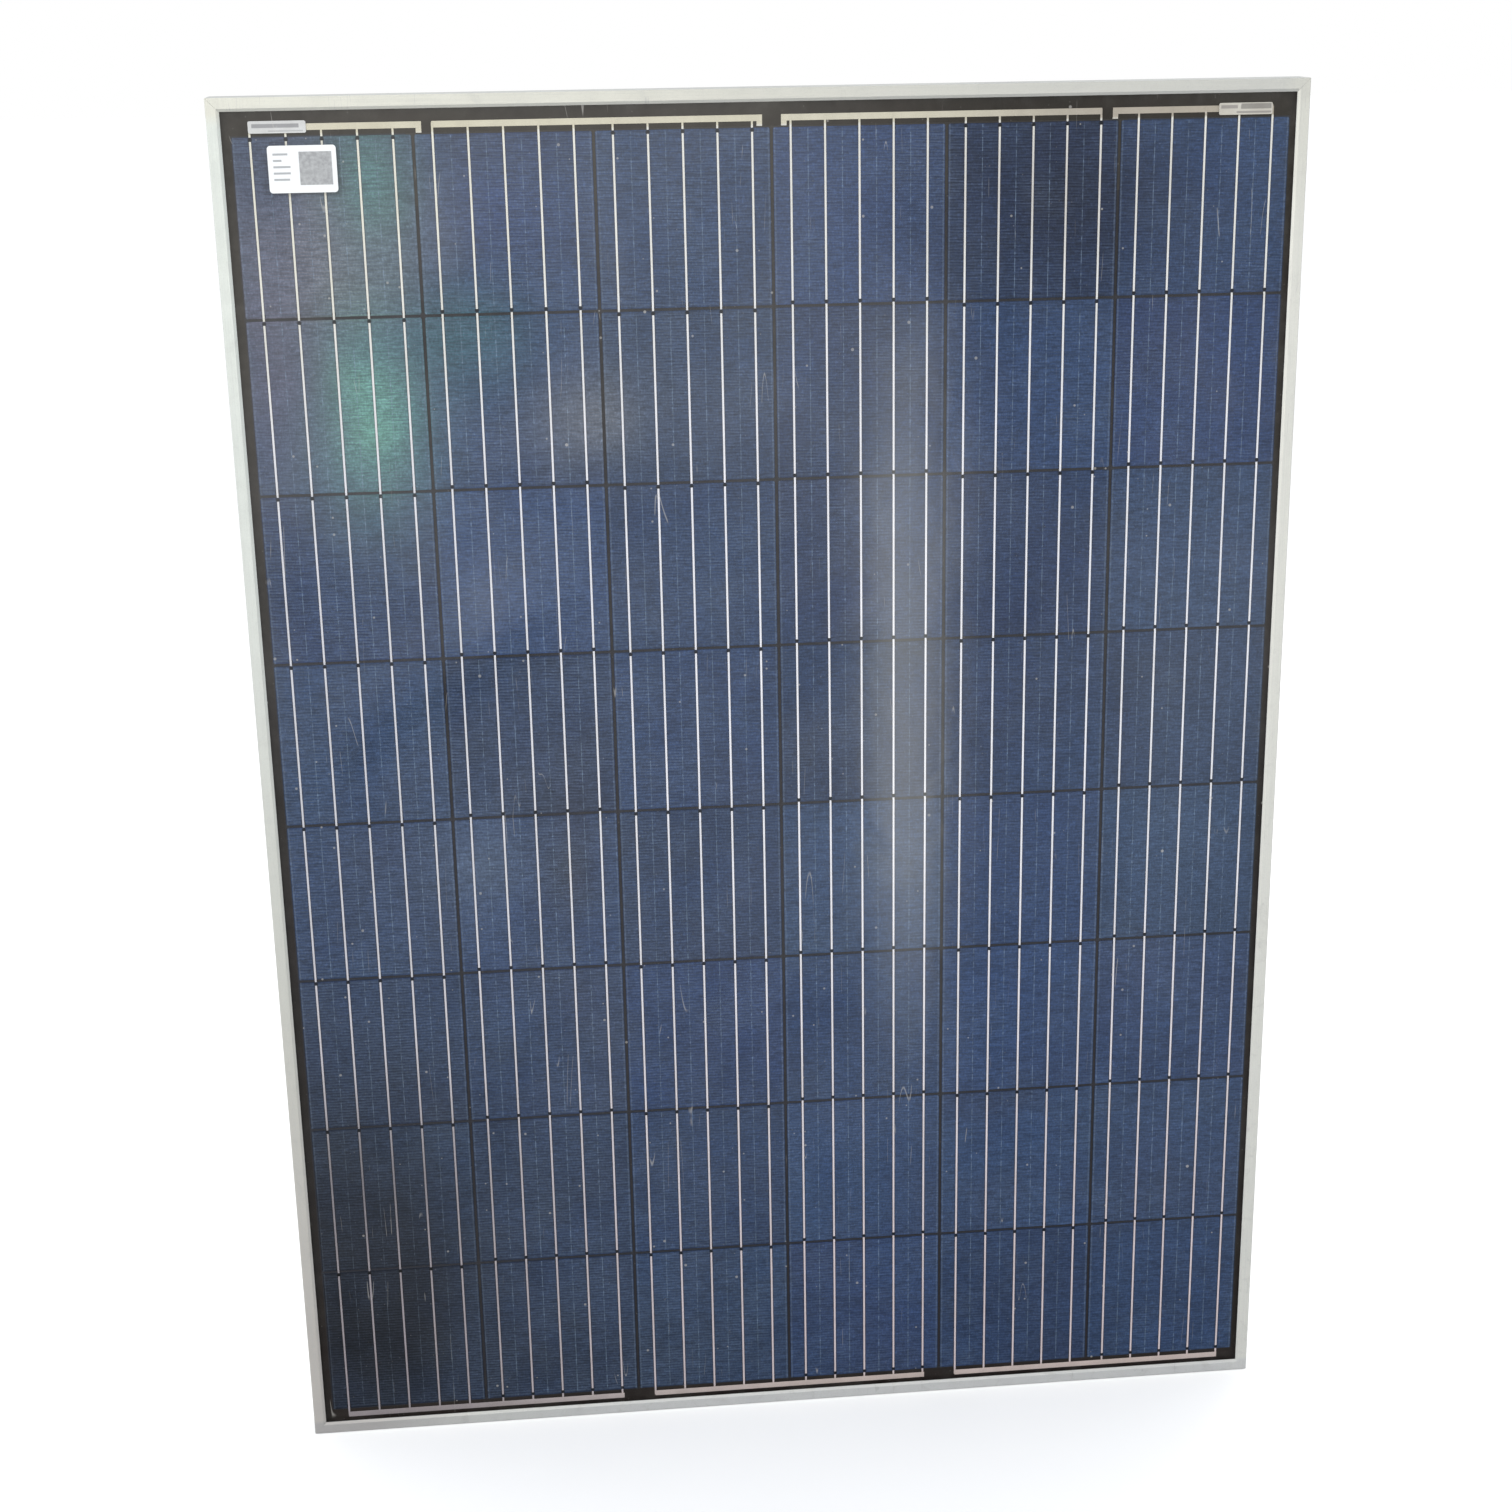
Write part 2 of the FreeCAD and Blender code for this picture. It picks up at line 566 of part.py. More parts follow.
def jbox_lid():
    y0, y1 = LID_Y
    lid = xz_prism(box_rect(0.0), y0, y1)
    lid = lid.makeFillet(1.0, [e for e in lid.Edges if abs(e.BoundBox.YMin - y1) < 1e-4])
    # shallow groove framing a field on the rear face
    lid = lid.cut(xz_prism(box_rect(9.0), y1 - 0.5, y1 + 1, box_rect(10.6)))
    # rim that reaches inside the base wall
    adds = [xz_prism(box_rect(BOX_WALL + 0.2), y0 - 1.6, y0 + 0.5, box_rect(BOX_WALL + 1.8))]
    for side in SIDES:
        x0, x1 = side * LID_KNUCKLE_X[0], side * LID_KNUCKLE_X[1]
        adds.append(box(x0, x1, y0 + 0.2, y1, box_top - 3.0, HINGE_Z))
        adds.append(knuckle(x0, x1))
        # latch prongs beside the nib
        adds.append(box(side * 8.0, side * 12.0, 3.0, y1 - 0.4,
                        box_bottom - 2.2, box_bottom - 0.2))
    # bridge between the prongs and the lid
    adds.append(box(-12.0, 12.0, y0, y1 - 0.4, box_bottom - 2.2, box_bottom + 3.0))
    lid = fuse([lid] + adds)
    for side in SIDES:
        lid = lid.cut(x_cyl(PIN_R + 0.08, side * 28.0, side * 40.0, HINGE_Y, HINGE_Z))
    return lid


save("jbox_adhesive", xz_prism(box_rect(1.5), *PAD_Y, LEAD_SLOT))
save("jbox_base", jbox_base())
save("jbox_lid", jbox_lid())
save("lid_hinge_pins", [x_cyl(PIN_R, side * PIN_X[0], side * PIN_X[1], HINGE_Y, HINGE_Z)
                        for side in SIDES])
save("jbox_lid_gasket", xz_prism(box_rect(SEAL_GROOVE[0] + SEAL_CLEAR),
                                 BASE_Y[1] - SEAL_GROOVE_D + GAP, LID_Y[0] - GAP,
                                 box_rect(SEAL_GROOVE[1] - SEAL_CLEAR)))

# ---- terminals, ribbon clips and diodes ----
DIODE_X = (-26.0, 0.0, 26.0)
DIODE_Y = PLATE_Y[1] + 4.8
DIODE_Z = 1203.0
DIODE_R = 4.0
DIODE_HALF_L = 4.6
WIRE_R = 0.65
WIRE_REACH = 8.5           # diode legs, from the diode's middle


def terminal(plate_x, lead_x, cable_x=None):
    """Plate with a neck under the ribbon; with cable_x, also a crimp barrel."""
    bits = [box(plate_x - 11, plate_x + 11, *PLATE_Y, 1180.0, 1226.5),
            box(lead_x - 4, lead_x + 4, *PLATE_Y, 1225.0, 1240.0)]
    if cable_x is None:
        return fuse(bits)
    z0, z1 = BARREL_Z
    bits.append(box(cable_x - 3, cable_x + 3, *PLATE_Y, z0, 1181.0))
    bits.append(box(cable_x - 1.0, cable_x + 1.0, PLATE_Y[0], CABLE_Y - 1.8, z0, z1))
    bits.append(cable_cyl(cable_x, 2.3, z0, z1))
    return fuse(bits).cut(cable_cyl(cable_x, CORE_BORE_R, 1160.0, 1185.0))


def ribbon_clip(x):
    outer = box(x - 5.0, x + 5.0, PLATE_Y[0] - 0.6, ON_PLATE_Y[1] + 0.55, 1229.0, 1236.0)
    return outer.cut(box(x - 4.05, x + 4.05, PLATE_Y[0] - GAP, ON_PLATE_Y[1] + GAP,
                         1228.0, 1237.0))


def diode(x):
    body = x_cyl(DIODE_R, x - DIODE_HALF_L, x + DIODE_HALF_L, DIODE_Y, DIODE_Z)
    body = body.makeFillet(0.5, [e for e in body.Edges
                                 if e.Length > 20 and abs(e.BoundBox.XLength) < 1e-3])
    bits = [body, x_cyl(WIRE_R, x - WIRE_REACH, x + WIRE_REACH, DIODE_Y, DIODE_Z)]
    leg_y = PLATE_Y[1] + GAP
    for side in SIDES:
        leg_x = x + side * WIRE_REACH
        bits.append(cyl(WIRE_R, (leg_x, leg_y, DIODE_Z), (0, 1, 0), DIODE_Y - leg_y))
        bits.append(Part.makeSphere(WIRE_R, V(leg_x, DIODE_Y, DIODE_Z)))
    return fuse(bits)


save("jbox_terminals", [terminal(*xs) for xs in
                        zip(PLATE_X, LEAD_BOX_X, (-CABLE_X, None, None, CABLE_X))])
save("jbox_ribbon_clips", [ribbon_clip(x) for x in LEAD_BOX_X])
save("bypass_diodes", [diode(x) for x in DIODE_X])

# ---- cable glands: distances run outward from the shoulder, in direction
# out (-1 down, 1 up) along Z ----
# nut section: radius, distance from the shoulder
NUT_PROFILE = [(6.1, 1.0), (7.2, 1.0), (8.0, 1.8), (8.0, 15.9),
               (7.0, 17.4), (5.2, 17.4), (3.3, 13.4), (6.1, 13.4)]
N_FLUTE = 12
FLUTE_R = 1.0
FLUTE_CENTRE_R = 8.55


def tube(x, shoulder, out, r_in, r_out, start, end):
    outer = cyl(r_out, (x, CABLE_Y, shoulder + out * start), (0, 0, out), end - start)
    return outer.cut(cyl(r_in, (x, CABLE_Y, shoulder + out * (start - 1)), (0, 0, out),
                         end - start + 2))


def gland_seal(x, shoulder, out):
    return tube(x, shoulder, out, CABLE_R + 0.03, 4.42, 3.0, 11.0)


def gland_clamp(x, shoulder, out):
    return tube(x, shoulder, out, 3.35, 5.7, 12.1, 13.25)


def gland_nut(x, shoulder, out):
    section = Part.Face(polygon([V(x + r, CABLE_Y, shoulder + out * w) for r, w in NUT_PROFILE]))
    nut = positive(section.revolve(V(x, CABLE_Y, shoulder), V(0, 0, 1), 360))
    for k in range(N_FLUTE):
        angle = 2 * math.pi * k / N_FLUTE
        base = (x + FLUTE_CENTRE_R * math.cos(angle), CABLE_Y + FLUTE_CENTRE_R * math.sin(angle),
                shoulder + out * 0.5)
        nut = nut.cut(cyl(FLUTE_R, base, (0, 0, out), 12.5))
    return nut


save("gland_seals", [gland_seal(side * CABLE_X, box_bottom, -1) for side in SIDES])
for side, tag, conn in ((-1, "left", "plug"), (1, "right", "socket")):
    x = side * CABLE_X
    save("gland_clamp_ring_" + tag, gland_clamp(x, box_bottom, -1))
    save("gland_nut_" + tag, gland_nut(x, box_bottom, -1))
    save(conn + "_seal", gland_seal(x, CONN_Z, 1))
    save(conn + "_clamp_ring", gland_clamp(x, CONN_Z, 1))
    save(conn + "_nut", gland_nut(x, CONN_Z, 1))

# ---- cables: stubs fixed in the glands, and free leads below the swing centre,
# each with a round head in the gland mouth ----
STUB_Z = (box_bottom - 13.1, 1163.0)
PIVOT_Z = box_bottom - 16.4    # swing centre
JACKET_Z = CONN_Z + 2.0        # lower end of the free jackets
CORE_END_Z = CONN_Z - 11.5     # lower end of the free conductors


def cable_stub(x):
    bore = cable_cyl(x, CORE_BORE_R, STUB_Z[0] - 1, STUB_Z[0] + 59.0)
    return cable_cyl(x, CABLE_R, *STUB_Z).cut(bore)


def lead_jacket(x):
    jacket = cable_cyl(x, CABLE_R, JACKET_Z, PIVOT_Z)
    jacket = jacket.fuse(Part.makeSphere(CABLE_R, V(x, CABLE_Y, PIVOT_Z))).removeSplitter()
    return jacket.cut(cable_cyl(x, CORE_BORE_R, JACKET_Z - 1, PIVOT_Z + 9))


save("cable_stubs", [cable_stub(side * CABLE_X) for side in SIDES])
save("conductor_stubs", [cable_cyl(side * CABLE_X, CORE_R, STUB_Z[0] + 0.4, BARREL_Z[1])
                         for side in SIDES])
for side, tag in ((-1, "left"), (1, "right")):
    x = side * CABLE_X
    save("lead_jacket_" + tag, lead_jacket(x))
    save("lead_conductor_" + tag, cable_cyl(x, CORE_R, CORE_END_Z, PIVOT_Z + 1.2))

# ---- connectors, hanging with the mating end down: the plug carries the hollow
# contact in its nose, the socket carries the contact pin in its barrel.
# Stations are distances down from the shoulder at CONN_Z. ----
BODY_L = 26.0
NOSE_END = 42.0
CONTACT_END = 41.0
SPIGOT = (SPIGOT_R, -12.0, 1.0)
SPIGOT_BORE = (GLAND_BORE_R, -20.0, 0.0)
CORE_BORE = (CORE_BORE_R, -1.0, 12.0)
CONTACT_STEM = (2.4, 0.5, 22.0)
# bores: radius, top, bottom
PLUG_BORES = [SPIGOT_BORE, (2.6, -1.0, 22.0), (3.1, 21.5, 50.0), (SLEEVE_R, 23.0, 30.0)]
SOCKET_BORES = [SPIGOT_BORE, (2.6, -1.0, 23.0), (3.3, 21.6, 27.0), (6.0, 26.0, 50.0)]
# plug latch arm: inner face from the axis, top, bottom
ARM_OUTER = 10.8
ARM_BLOCKS = [(9.0, 21.0, 46.0), (6.0, 21.0, 24.5), (8.2, 43.6, 46.0)]


def turned(x, radius, top, bottom):
    return cable_cyl(x, radius, CONN_Z - bottom, CONN_Z - top)


def side_block(x, side, inner, outer, half_y, top, bottom):
    return box(x + side * inner, x + side * outer, CABLE_Y - half_y, CABLE_Y + half_y,
               CONN_Z - bottom, CONN_Z - top)


def bored(solid, x, bores):
    for bore in bores:
        solid = solid.cut(turned(x, *bore))
    return solid


def grip_body(x):
    """Body between shoulder and mating end, with two flats and grip ribs."""
    body = turned(x, CONN_BODY_R, 0.0, BODY_L)
    body = body.makeFillet(0.8, [e for e in body.Edges if e.Length > 40])
    for y0, y1 in ((-FLAT_Y - 4, -FLAT_Y), (FLAT_Y, FLAT_Y + 4)):
        body = body.cut(box(x - 12, x + 12, CABLE_Y + y0, CABLE_Y + y1,
                            CONN_Z - 19.0, CONN_Z - 5.0))
    ribs = [tube(x, CONN_Z, -1, 7.0, CONN_BODY_R, 6.0 + 3.2 * k, 7.4 + 3.2 * k)
            for k in range(4)]
    return fuse([body] + ribs)


def plug_housing(x):
    body = fuse([grip_body(x), turned(x, *SPIGOT)])
    arms = [side_block(x, side, inner, ARM_OUTER, 3.0, top, bottom)
            for side in SIDES for inner, top, bottom in ARM_BLOCKS]
    return bored(fuse([body] + arms), x, PLUG_BORES)


def plug_nose_sleeve(x):
    """Sleeve round the contact; its thinner upper end sits in the body."""
    sleeve = fuse([turned(x, NOSE_R, BODY_L, NOSE_END), turned(x, SLEEVE_R, 23.0, 27.0)])
    return bored(sleeve, x, [(3.1, 20.0, 50.0)])


def plug_contact(x):
    contact = fuse([turned(x, *CONTACT_STEM), turned(x, 2.9, 21.8, CONTACT_END)])
    return bored(contact, x, [CORE_BORE, (CONTACT_BORE_R, 26.0, 45.0)])


def socket_housing(x):
    body = fuse([grip_body(x), turned(x, *SPIGOT), turned(x, CONN_BODY_R, 25.0, 44.0)])
    # side recesses in the barrel
    for side in SIDES:
        body = body.cut(side_block(x, side, 7.2, 12.0, 3.3, 30.0, 36.0))
    return bored(body, x, SOCKET_BORES)


def socket_contact(x):
    pin = turned(x, CONTACT_PIN_R, 25.0, CONTACT_END)
    tip_z = CONN_Z - CONTACT_END
    pin = pin.makeFillet(0.6, [e for e in pin.Edges if abs(e.BoundBox.ZMax - tip_z) < 1e-4])
    contact = fuse([turned(x, *CONTACT_STEM), turned(x, 3.2, 21.8, 25.8), pin])
    return bored(contact, x, [CORE_BORE])


save("plug_housing", plug_housing(-CABLE_X))
save("plug_nose_sleeve", plug_nose_sleeve(-CABLE_X))
save("plug_contact", plug_contact(-CABLE_X))
save("socket_housing", socket_housing(CABLE_X))
save("socket_contact", socket_contact(CABLE_X))
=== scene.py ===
"""The looks of a framed solar module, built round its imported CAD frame.

Row frame, in metres: +X right seen from the glass side, +Y towards the rear, +Z up.
The module stands on its lower edge at z = 0, centred on x = 0, its glass facing -Y.
"""

import json
import math
import random
from functools import cached_property, partial

import bmesh
import bpy
import numpy as np
from mathutils import Matrix, Vector


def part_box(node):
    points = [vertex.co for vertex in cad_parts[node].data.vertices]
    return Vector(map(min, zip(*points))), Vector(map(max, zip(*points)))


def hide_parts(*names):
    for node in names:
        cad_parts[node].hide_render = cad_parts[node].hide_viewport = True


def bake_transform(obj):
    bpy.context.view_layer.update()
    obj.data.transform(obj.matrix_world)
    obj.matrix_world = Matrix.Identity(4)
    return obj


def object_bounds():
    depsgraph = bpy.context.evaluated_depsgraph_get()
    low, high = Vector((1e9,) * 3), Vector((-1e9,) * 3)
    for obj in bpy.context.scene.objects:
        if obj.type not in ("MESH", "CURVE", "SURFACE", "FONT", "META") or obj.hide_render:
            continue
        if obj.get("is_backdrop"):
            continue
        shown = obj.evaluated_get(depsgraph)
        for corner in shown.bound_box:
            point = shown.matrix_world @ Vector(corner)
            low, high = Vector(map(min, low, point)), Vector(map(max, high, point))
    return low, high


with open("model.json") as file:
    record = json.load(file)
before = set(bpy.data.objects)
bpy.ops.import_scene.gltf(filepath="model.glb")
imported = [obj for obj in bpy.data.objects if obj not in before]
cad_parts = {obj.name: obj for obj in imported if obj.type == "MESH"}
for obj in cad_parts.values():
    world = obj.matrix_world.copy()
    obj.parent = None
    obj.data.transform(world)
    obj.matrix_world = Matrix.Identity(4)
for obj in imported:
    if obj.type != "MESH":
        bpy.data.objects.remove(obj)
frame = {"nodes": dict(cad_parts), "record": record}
NODES = frame["nodes"]
RECORD = frame["record"]
BOUNDS_AT_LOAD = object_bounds()
rng = random.Random(4107)

# ---------------------------------------------------------------- driving sizes
WIDTH, HEIGHT = 0.992, 1.332
COLUMNS, ROWS = 6, 8
COLUMN_PITCH, ROW_PITCH = 0.1596, 0.1595
ARRAY_X, ARRAY_Z = 0.0016, 0.6610  # middle of the cell grid
RIBBON_PITCH = 0.0312
FINGER_PITCH = 0.00148  # printed lines across each cell

FALL = (1.0, 0.0)  # output of a step that goes down instead of up

# ================================================================ shader toolkit


def math_method(operation, reflected=False):
    """A method of Value that adds one math node, with the operands swapped if reflected."""

    def apply(self, *others):
        operands = (*others, self) if reflected else (self, *others)
        return self.shader.math(operation, *operands)

    return apply


class Value:
    """A node's output. Arithmetic and comparisons on it add math nodes to its tree."""

    def __init__(self, shader, socket):
        self.shader = shader
        self.socket = socket

    __add__ = math_method("ADD")
    __sub__ = math_method("SUBTRACT")
    __rsub__ = math_method("SUBTRACT", reflected=True)
    __mul__ = math_method("MULTIPLY")
    __truediv__ = math_method("DIVIDE")
    __pow__ = math_method("POWER")
    __lt__ = math_method("LESS_THAN")
    __gt__ = math_method("GREATER_THAN")
    __abs__ = math_method("ABSOLUTE")
    max = math_method("MAXIMUM")
    min = math_method("MINIMUM")
    floor = math_method("FLOOR")
    fract = math_method("FRACT")
    sqrt = math_method("SQRT")
    exp = math_method("EXPONENT")

    def step(self, span, to=(0.0, 1.0), smooth=True):
        """Maps the span's two ends onto the two values of to, clamped outside them."""
        return self.shader.add(
            "ShaderNodeMapRange",
            dict(enumerate((self, *span, *to))),
            interpolation_type="SMOOTHSTEP" if smooth else "LINEAR",
            clamp=True,
        )

    def bell(self):
        """1 at zero, falling softly to 0 on both sides."""
        return (self * self * -1.0).exp()

    def numbers(self, start, end):
        """The number this far from start to end."""
        add_node = self.shader.math
        return add_node("ADD", start, self * add_node("SUBTRACT", end, start))

    def colours(self, start, end, blend="MIX"):
        """The colour this far from start to end."""
        return self.shader.mix(self, start, end)

    def closures(self, start, end):
        """The closure this far from start to end."""
        return self.shader.add("ShaderNodeMixShader", {0: self, 1: start, 2: end})

    def ramp(self, *stops):
        """A colour ramp through (position, colour) stops."""
        ramp = self.shader.add("ShaderNodeValToRGB", {0: self})
        elements = ramp.socket.node.color_ramp.elements
        while len(elements) < len(stops):
            elements.new(0.5)
        for element, (position, colour) in zip(elements, stops):
            element.position = position
            element.color = (*colour, 1)
        return ramp

    def coat(self, *layers):
        """Lays (amount, colour) layers over this colour, one after another."""
        tone = self
        for amount, colour in layers:
            tone = amount.colours(tone, colour)
        return tone

    def scaled(self, factor):
        inputs = {0: self, "Scale": factor}
        return self.shader.add("ShaderNodeVectorMath", inputs, operation="SCALE")

    def shaded(self, amount, factor):
        """This colour, scaled by factor where amount is 1."""
        return amount.colours(self, self.scaled(factor))

    def tinted(self, colour):
        return self.shader.mix(1.0, self, colour, blend="MULTIPLY")


class Shader:
    """A node tree being built: place is the point shaded, x, y and z its parts."""

    def __init__(self, tree, output_kind, coordinates):
        self.tree = tree
        tree.nodes.clear()
        self.output = tree.nodes.new(output_kind)
        self.coordinates = coordinates

    @cached_property
    def place(self):
        return self.outputs("ShaderNodeTexCoord")[self.coordinates]

    @cached_property
    def axes(self):
        return self.split(self.place)

    x = property(lambda self: self.axes[0])
    y = property(lambda self: self.axes[1])
    z = property(lambda self: self.axes[2])

    @cached_property
    def geometry(self):
        return self.outputs("ShaderNodeNewGeometry")

    def face_y(self):
        """Y of the flat face normal: -1 faces the glass side, 1 the rear."""
        return self.split(self.geometry["True Normal"])[1]

    def feed(self, socket, value):
        if isinstance(value, Value):
            self.tree.links.new(value.socket, socket)
        elif isinstance(value, tuple) and len(value) == 3 and socket.type == "RGBA":
            socket.default_value = (*value, 1)
        else:
            socket.default_value = value

    def outputs(self, kind):
        """Adds a node that takes no inputs and returns its outputs by name."""
        node = self.tree.nodes.new(kind)
        return {socket.name: Value(self, socket) for socket in node.outputs}

    def add(self, kind, inputs, out=0, **settings):
        """Adds a node, feeds its inputs by name or number and returns one output."""
        node = self.tree.nodes.new(kind)
        for name, setting in settings.items():
            setattr(node, name, setting)
        for key, value in inputs.items():
            self.feed(node.inputs[key], value)
        return Value(self, node.outputs[out])

    def math(self, operation, *operands):
        return self.add("ShaderNodeMath", dict(enumerate(operands)), operation=operation)

    def mix(self, factor, start, end, blend="MIX"):
        return self.add(
            "ShaderNodeMix",
            {0: factor, 6: start, 7: end},
            out=2,
            data_type="RGBA",
            blend_type=blend,
            clamp_factor=True,
        )

    def split(self, vector, kind="XYZ"):
        node = self.tree.nodes.new("ShaderNodeSeparate" + kind)
        self.feed(node.inputs[0], vector)
        return [Value(self, socket) for socket in node.outputs]

    def vector(self, x, y, z):
        return self.add("ShaderNodeCombineXYZ", {0: x, 1: y, 2: z})

    def mapped(self, scale, at=None, offset=(0, 0, 0), turn=(0, 0, 0)):
        inputs = {
            "Vector": at or self.place,
            "Scale": scale,
            "Location": offset,
            "Rotation": turn,
        }
        return self.add("ShaderNodeMapping", inputs)

    def noise(
        self, scale=1.0, detail=3.0, rough=0.5, distortion=0.0, at=None, stretch=None, out="Fac"
    ):
        """Cloudy noise at a place; stretch scales the three axes separately."""
        if stretch:
            at = self.mapped(stretch, at=at)
        inputs = {
            "Vector": at or self.place,
            "Scale": scale,
            "Detail": detail,
            "Roughness": rough,
            "Distortion": distortion,
        }
        return self.add("ShaderNodeTexNoise", inputs, out=out)

    def voronoi(self, scale, at=None, feature="F1", out="Distance"):
        inputs = {"Vector": at or self.place, "Scale": scale}
        return self.add("ShaderNodeTexVoronoi", inputs, out=out, feature=feature)

    def random(self, x, y, z):
        """One random value for each x, y, z."""
        inputs = {"Vector": self.vector(x, y, z)}
        return self.add("ShaderNodeTexWhiteNoise", inputs, out="Value", noise_dimensions="3D")

    def bump(self, height, strength, distance):
        inputs = {"Strength": strength, "Distance": distance, "Height": height}
        return self.add("ShaderNodeBump", inputs)

    def blob(self, x, z, radius_x, radius_z, turn=0.0):
        """A soft round patch centred at x, z: 1 in the middle, falling to 0."""
        along, up = self.x - x, self.z - z
        if turn:
            cosine, sine = math.cos(turn), math.sin(turn)
            along, up = along * cosine + up * sine, up * cosine - along * sine
        along, up = along / radius_x, up / radius_z
        return ((along * along + up * up) * -1.0).exp()

    def closure(self, kind, **inputs):
        named = {name.replace("_", " "): value for name, value in inputs.items()}
        return self.add("ShaderNode" + kind, named)

    def clear(self, colour):
        return self.closure("BsdfTransparent", Color=colour)

    def glow(self, colour, strength=1.0):
        return self.closure("Emission", Color=colour, Strength=strength)

    def set_surface(self, closure):
        self.feed(self.output.inputs["Surface"], closure)


class Material(Shader):
    """A material whose places are those of the row frame."""

    def __init__(self, name):
        self.material = bpy.data.materials.new(name)
        self.material.use_nodes = True
        super().__init__(self.material.node_tree, "ShaderNodeOutputMaterial", "Object")

    def finish(self, surface, bounce):
        """Camera rays see surface; all other rays see plain matt bounce colour."""
        plain = self.closure("BsdfDiffuse", Color=bounce)
        camera_ray = self.outputs("ShaderNodeLightPath")["Is Camera Ray"]
        self.set_surface(camera_ray.closures(plain, surface))

    def solid(self, colour, rough, height, strength, distance, bounce, **more):
        """An opaque surface; strength and distance belong to the bump made from height."""
        normal = self.bump(height, strength, distance)
        surface = self.closure(
            "BsdfPrincipled", Base_Color=colour, Roughness=rough, Normal=normal, **more
        )
        self.finish(surface, bounce)


# ================================================================ shared patterns

# Dark (or, below zero, light) diagonals in the reflected room. Columns: height at the
# middle, slope, half width, start and end across, depth.
ROOM_DIAGONALS = (
    (-0.252, 0.60, 0.011, -0.085, 0.045, 0.62),
    (-0.226, 0.60, 0.014, -0.070, 0.045, -0.45),
    (-0.205, -1.60, 0.020, -0.110, -0.030, 0.30),
)


def room(shader, x, y, z):
    """The soft studio as a shiny surface on the glass side sees it in direction x, y, z."""
    ahead = (y * -1.0).max(0.05)
    across, above = x / ahead, z / ahead
    # Brightness: falls off below, with upright bands of other levels on the right.
    level = above.step((-0.62, -0.06), to=(0.08, 1.15))
    level *= across.step((0.165, 0.200), to=(1.0, 0.50))
    level *= across.step((0.230, 0.270), to=(1.0, 1.70))
    upper_right = across.step((0.10, 0.17)) * above.step((-0.20, -0.09))
    level *= upper_right.numbers(1.0, 0.40)
    level *= above.step((-0.02, 0.35), to=(1.0, 0.75))
    direction = shader.vector(across, above, 0.37)
    clouds = shader.noise(6.5, detail=3.0, rough=0.55, distortion=0.4, at=direction)
    level *= clouds.step((0.32, 0.68), to=(0.55, 1.35))
    # One tall soft strip light.
    strip = ((across - 0.157) / 0.0165).bell()
    strip *= above.step((-0.47, -0.30)) * above.step((-0.08, -0.225))
    for height, slope, half_width, start, end, depth in ROOM_DIAGONALS:
        band = ((above - height - across * slope) / half_width).bell()
        ends = across.step((start - 0.02, start + 0.02)) * across.step((end, end - 0.05))
        level *= (band * ends).numbers(1.0, 1.0 - depth)
    behind = y.step((-0.02, 0.10))
    # Cool below, warm above.
    tint = above.step((-0.35, -0.08)).colours((0.92, 0.93, 0.98), (1.0, 0.965, 0.90))
    return tint.scaled(level).coat(
        (strip * 0.92, (4.05, 4.05, 3.75)),
        (behind, (0.85, 0.86, 0.88)),
    )


def specks(mat, scale, size, at=None):
    """Sparse round specks of random sizes: 1 inside a speck, 0 elsewhere."""
    distance = mat.voronoi(scale, at=at)
    cell_colour = mat.voronoi(scale, at=at, out="Color")
    own_size = mat.split(cell_colour, "Color")[0] ** 6.0
    return (own_size * size - distance).step((0.0, size * 0.25))


def scratches(mat, scale, angle, width, keep, seed):
    """Thin broken lines at an angle in the panel's plane; a higher keep leaves fewer."""
    stretched = mat.mapped(
        (scale, 1.0, scale * 0.06),
        offset=(seed, seed * 1.7, seed * 0.3),
        turn=(0, angle, 0),
    )
    shifted = mat.mapped((1, 1, 1), offset=(seed, 0, 0))
    breaks = mat.noise(scale * 0.35, detail=2.0, at=shifted)
    contour = mat.noise(detail=0.0, distortion=0.6, at=stretched)
    line = abs(contour - 0.5).step((0.0, width), to=FALL)
    return line * breaks.step((keep, keep + 0.05))


def from_lines(pitches, pitch):
    """Distance to lines lying halfway between whole numbers of pitches."""
    return abs(pitches.fract() - 0.5) * pitch


def grid_place(mat):
    """Place in the cell grid, counted in columns and rows from its lower left corner."""
    return (
        (mat.x - ARRAY_X) / COLUMN_PITCH + COLUMNS / 2,
        (mat.z - ARRAY_Z) / ROW_PITCH + ROWS / 2,
    )


def bar(mat, left, right, bottom, top):
    """One plain solid bar: 1 inside, 0 outside."""
    across = (mat.x > left) * (mat.x < right)
    return across * ((mat.z > bottom) * (mat.z < top))


# ================================================================ materials

BUILDERS = {}  # in the order the materials are made


def material(build):
    BUILDERS[build.__name__] = build
    return build


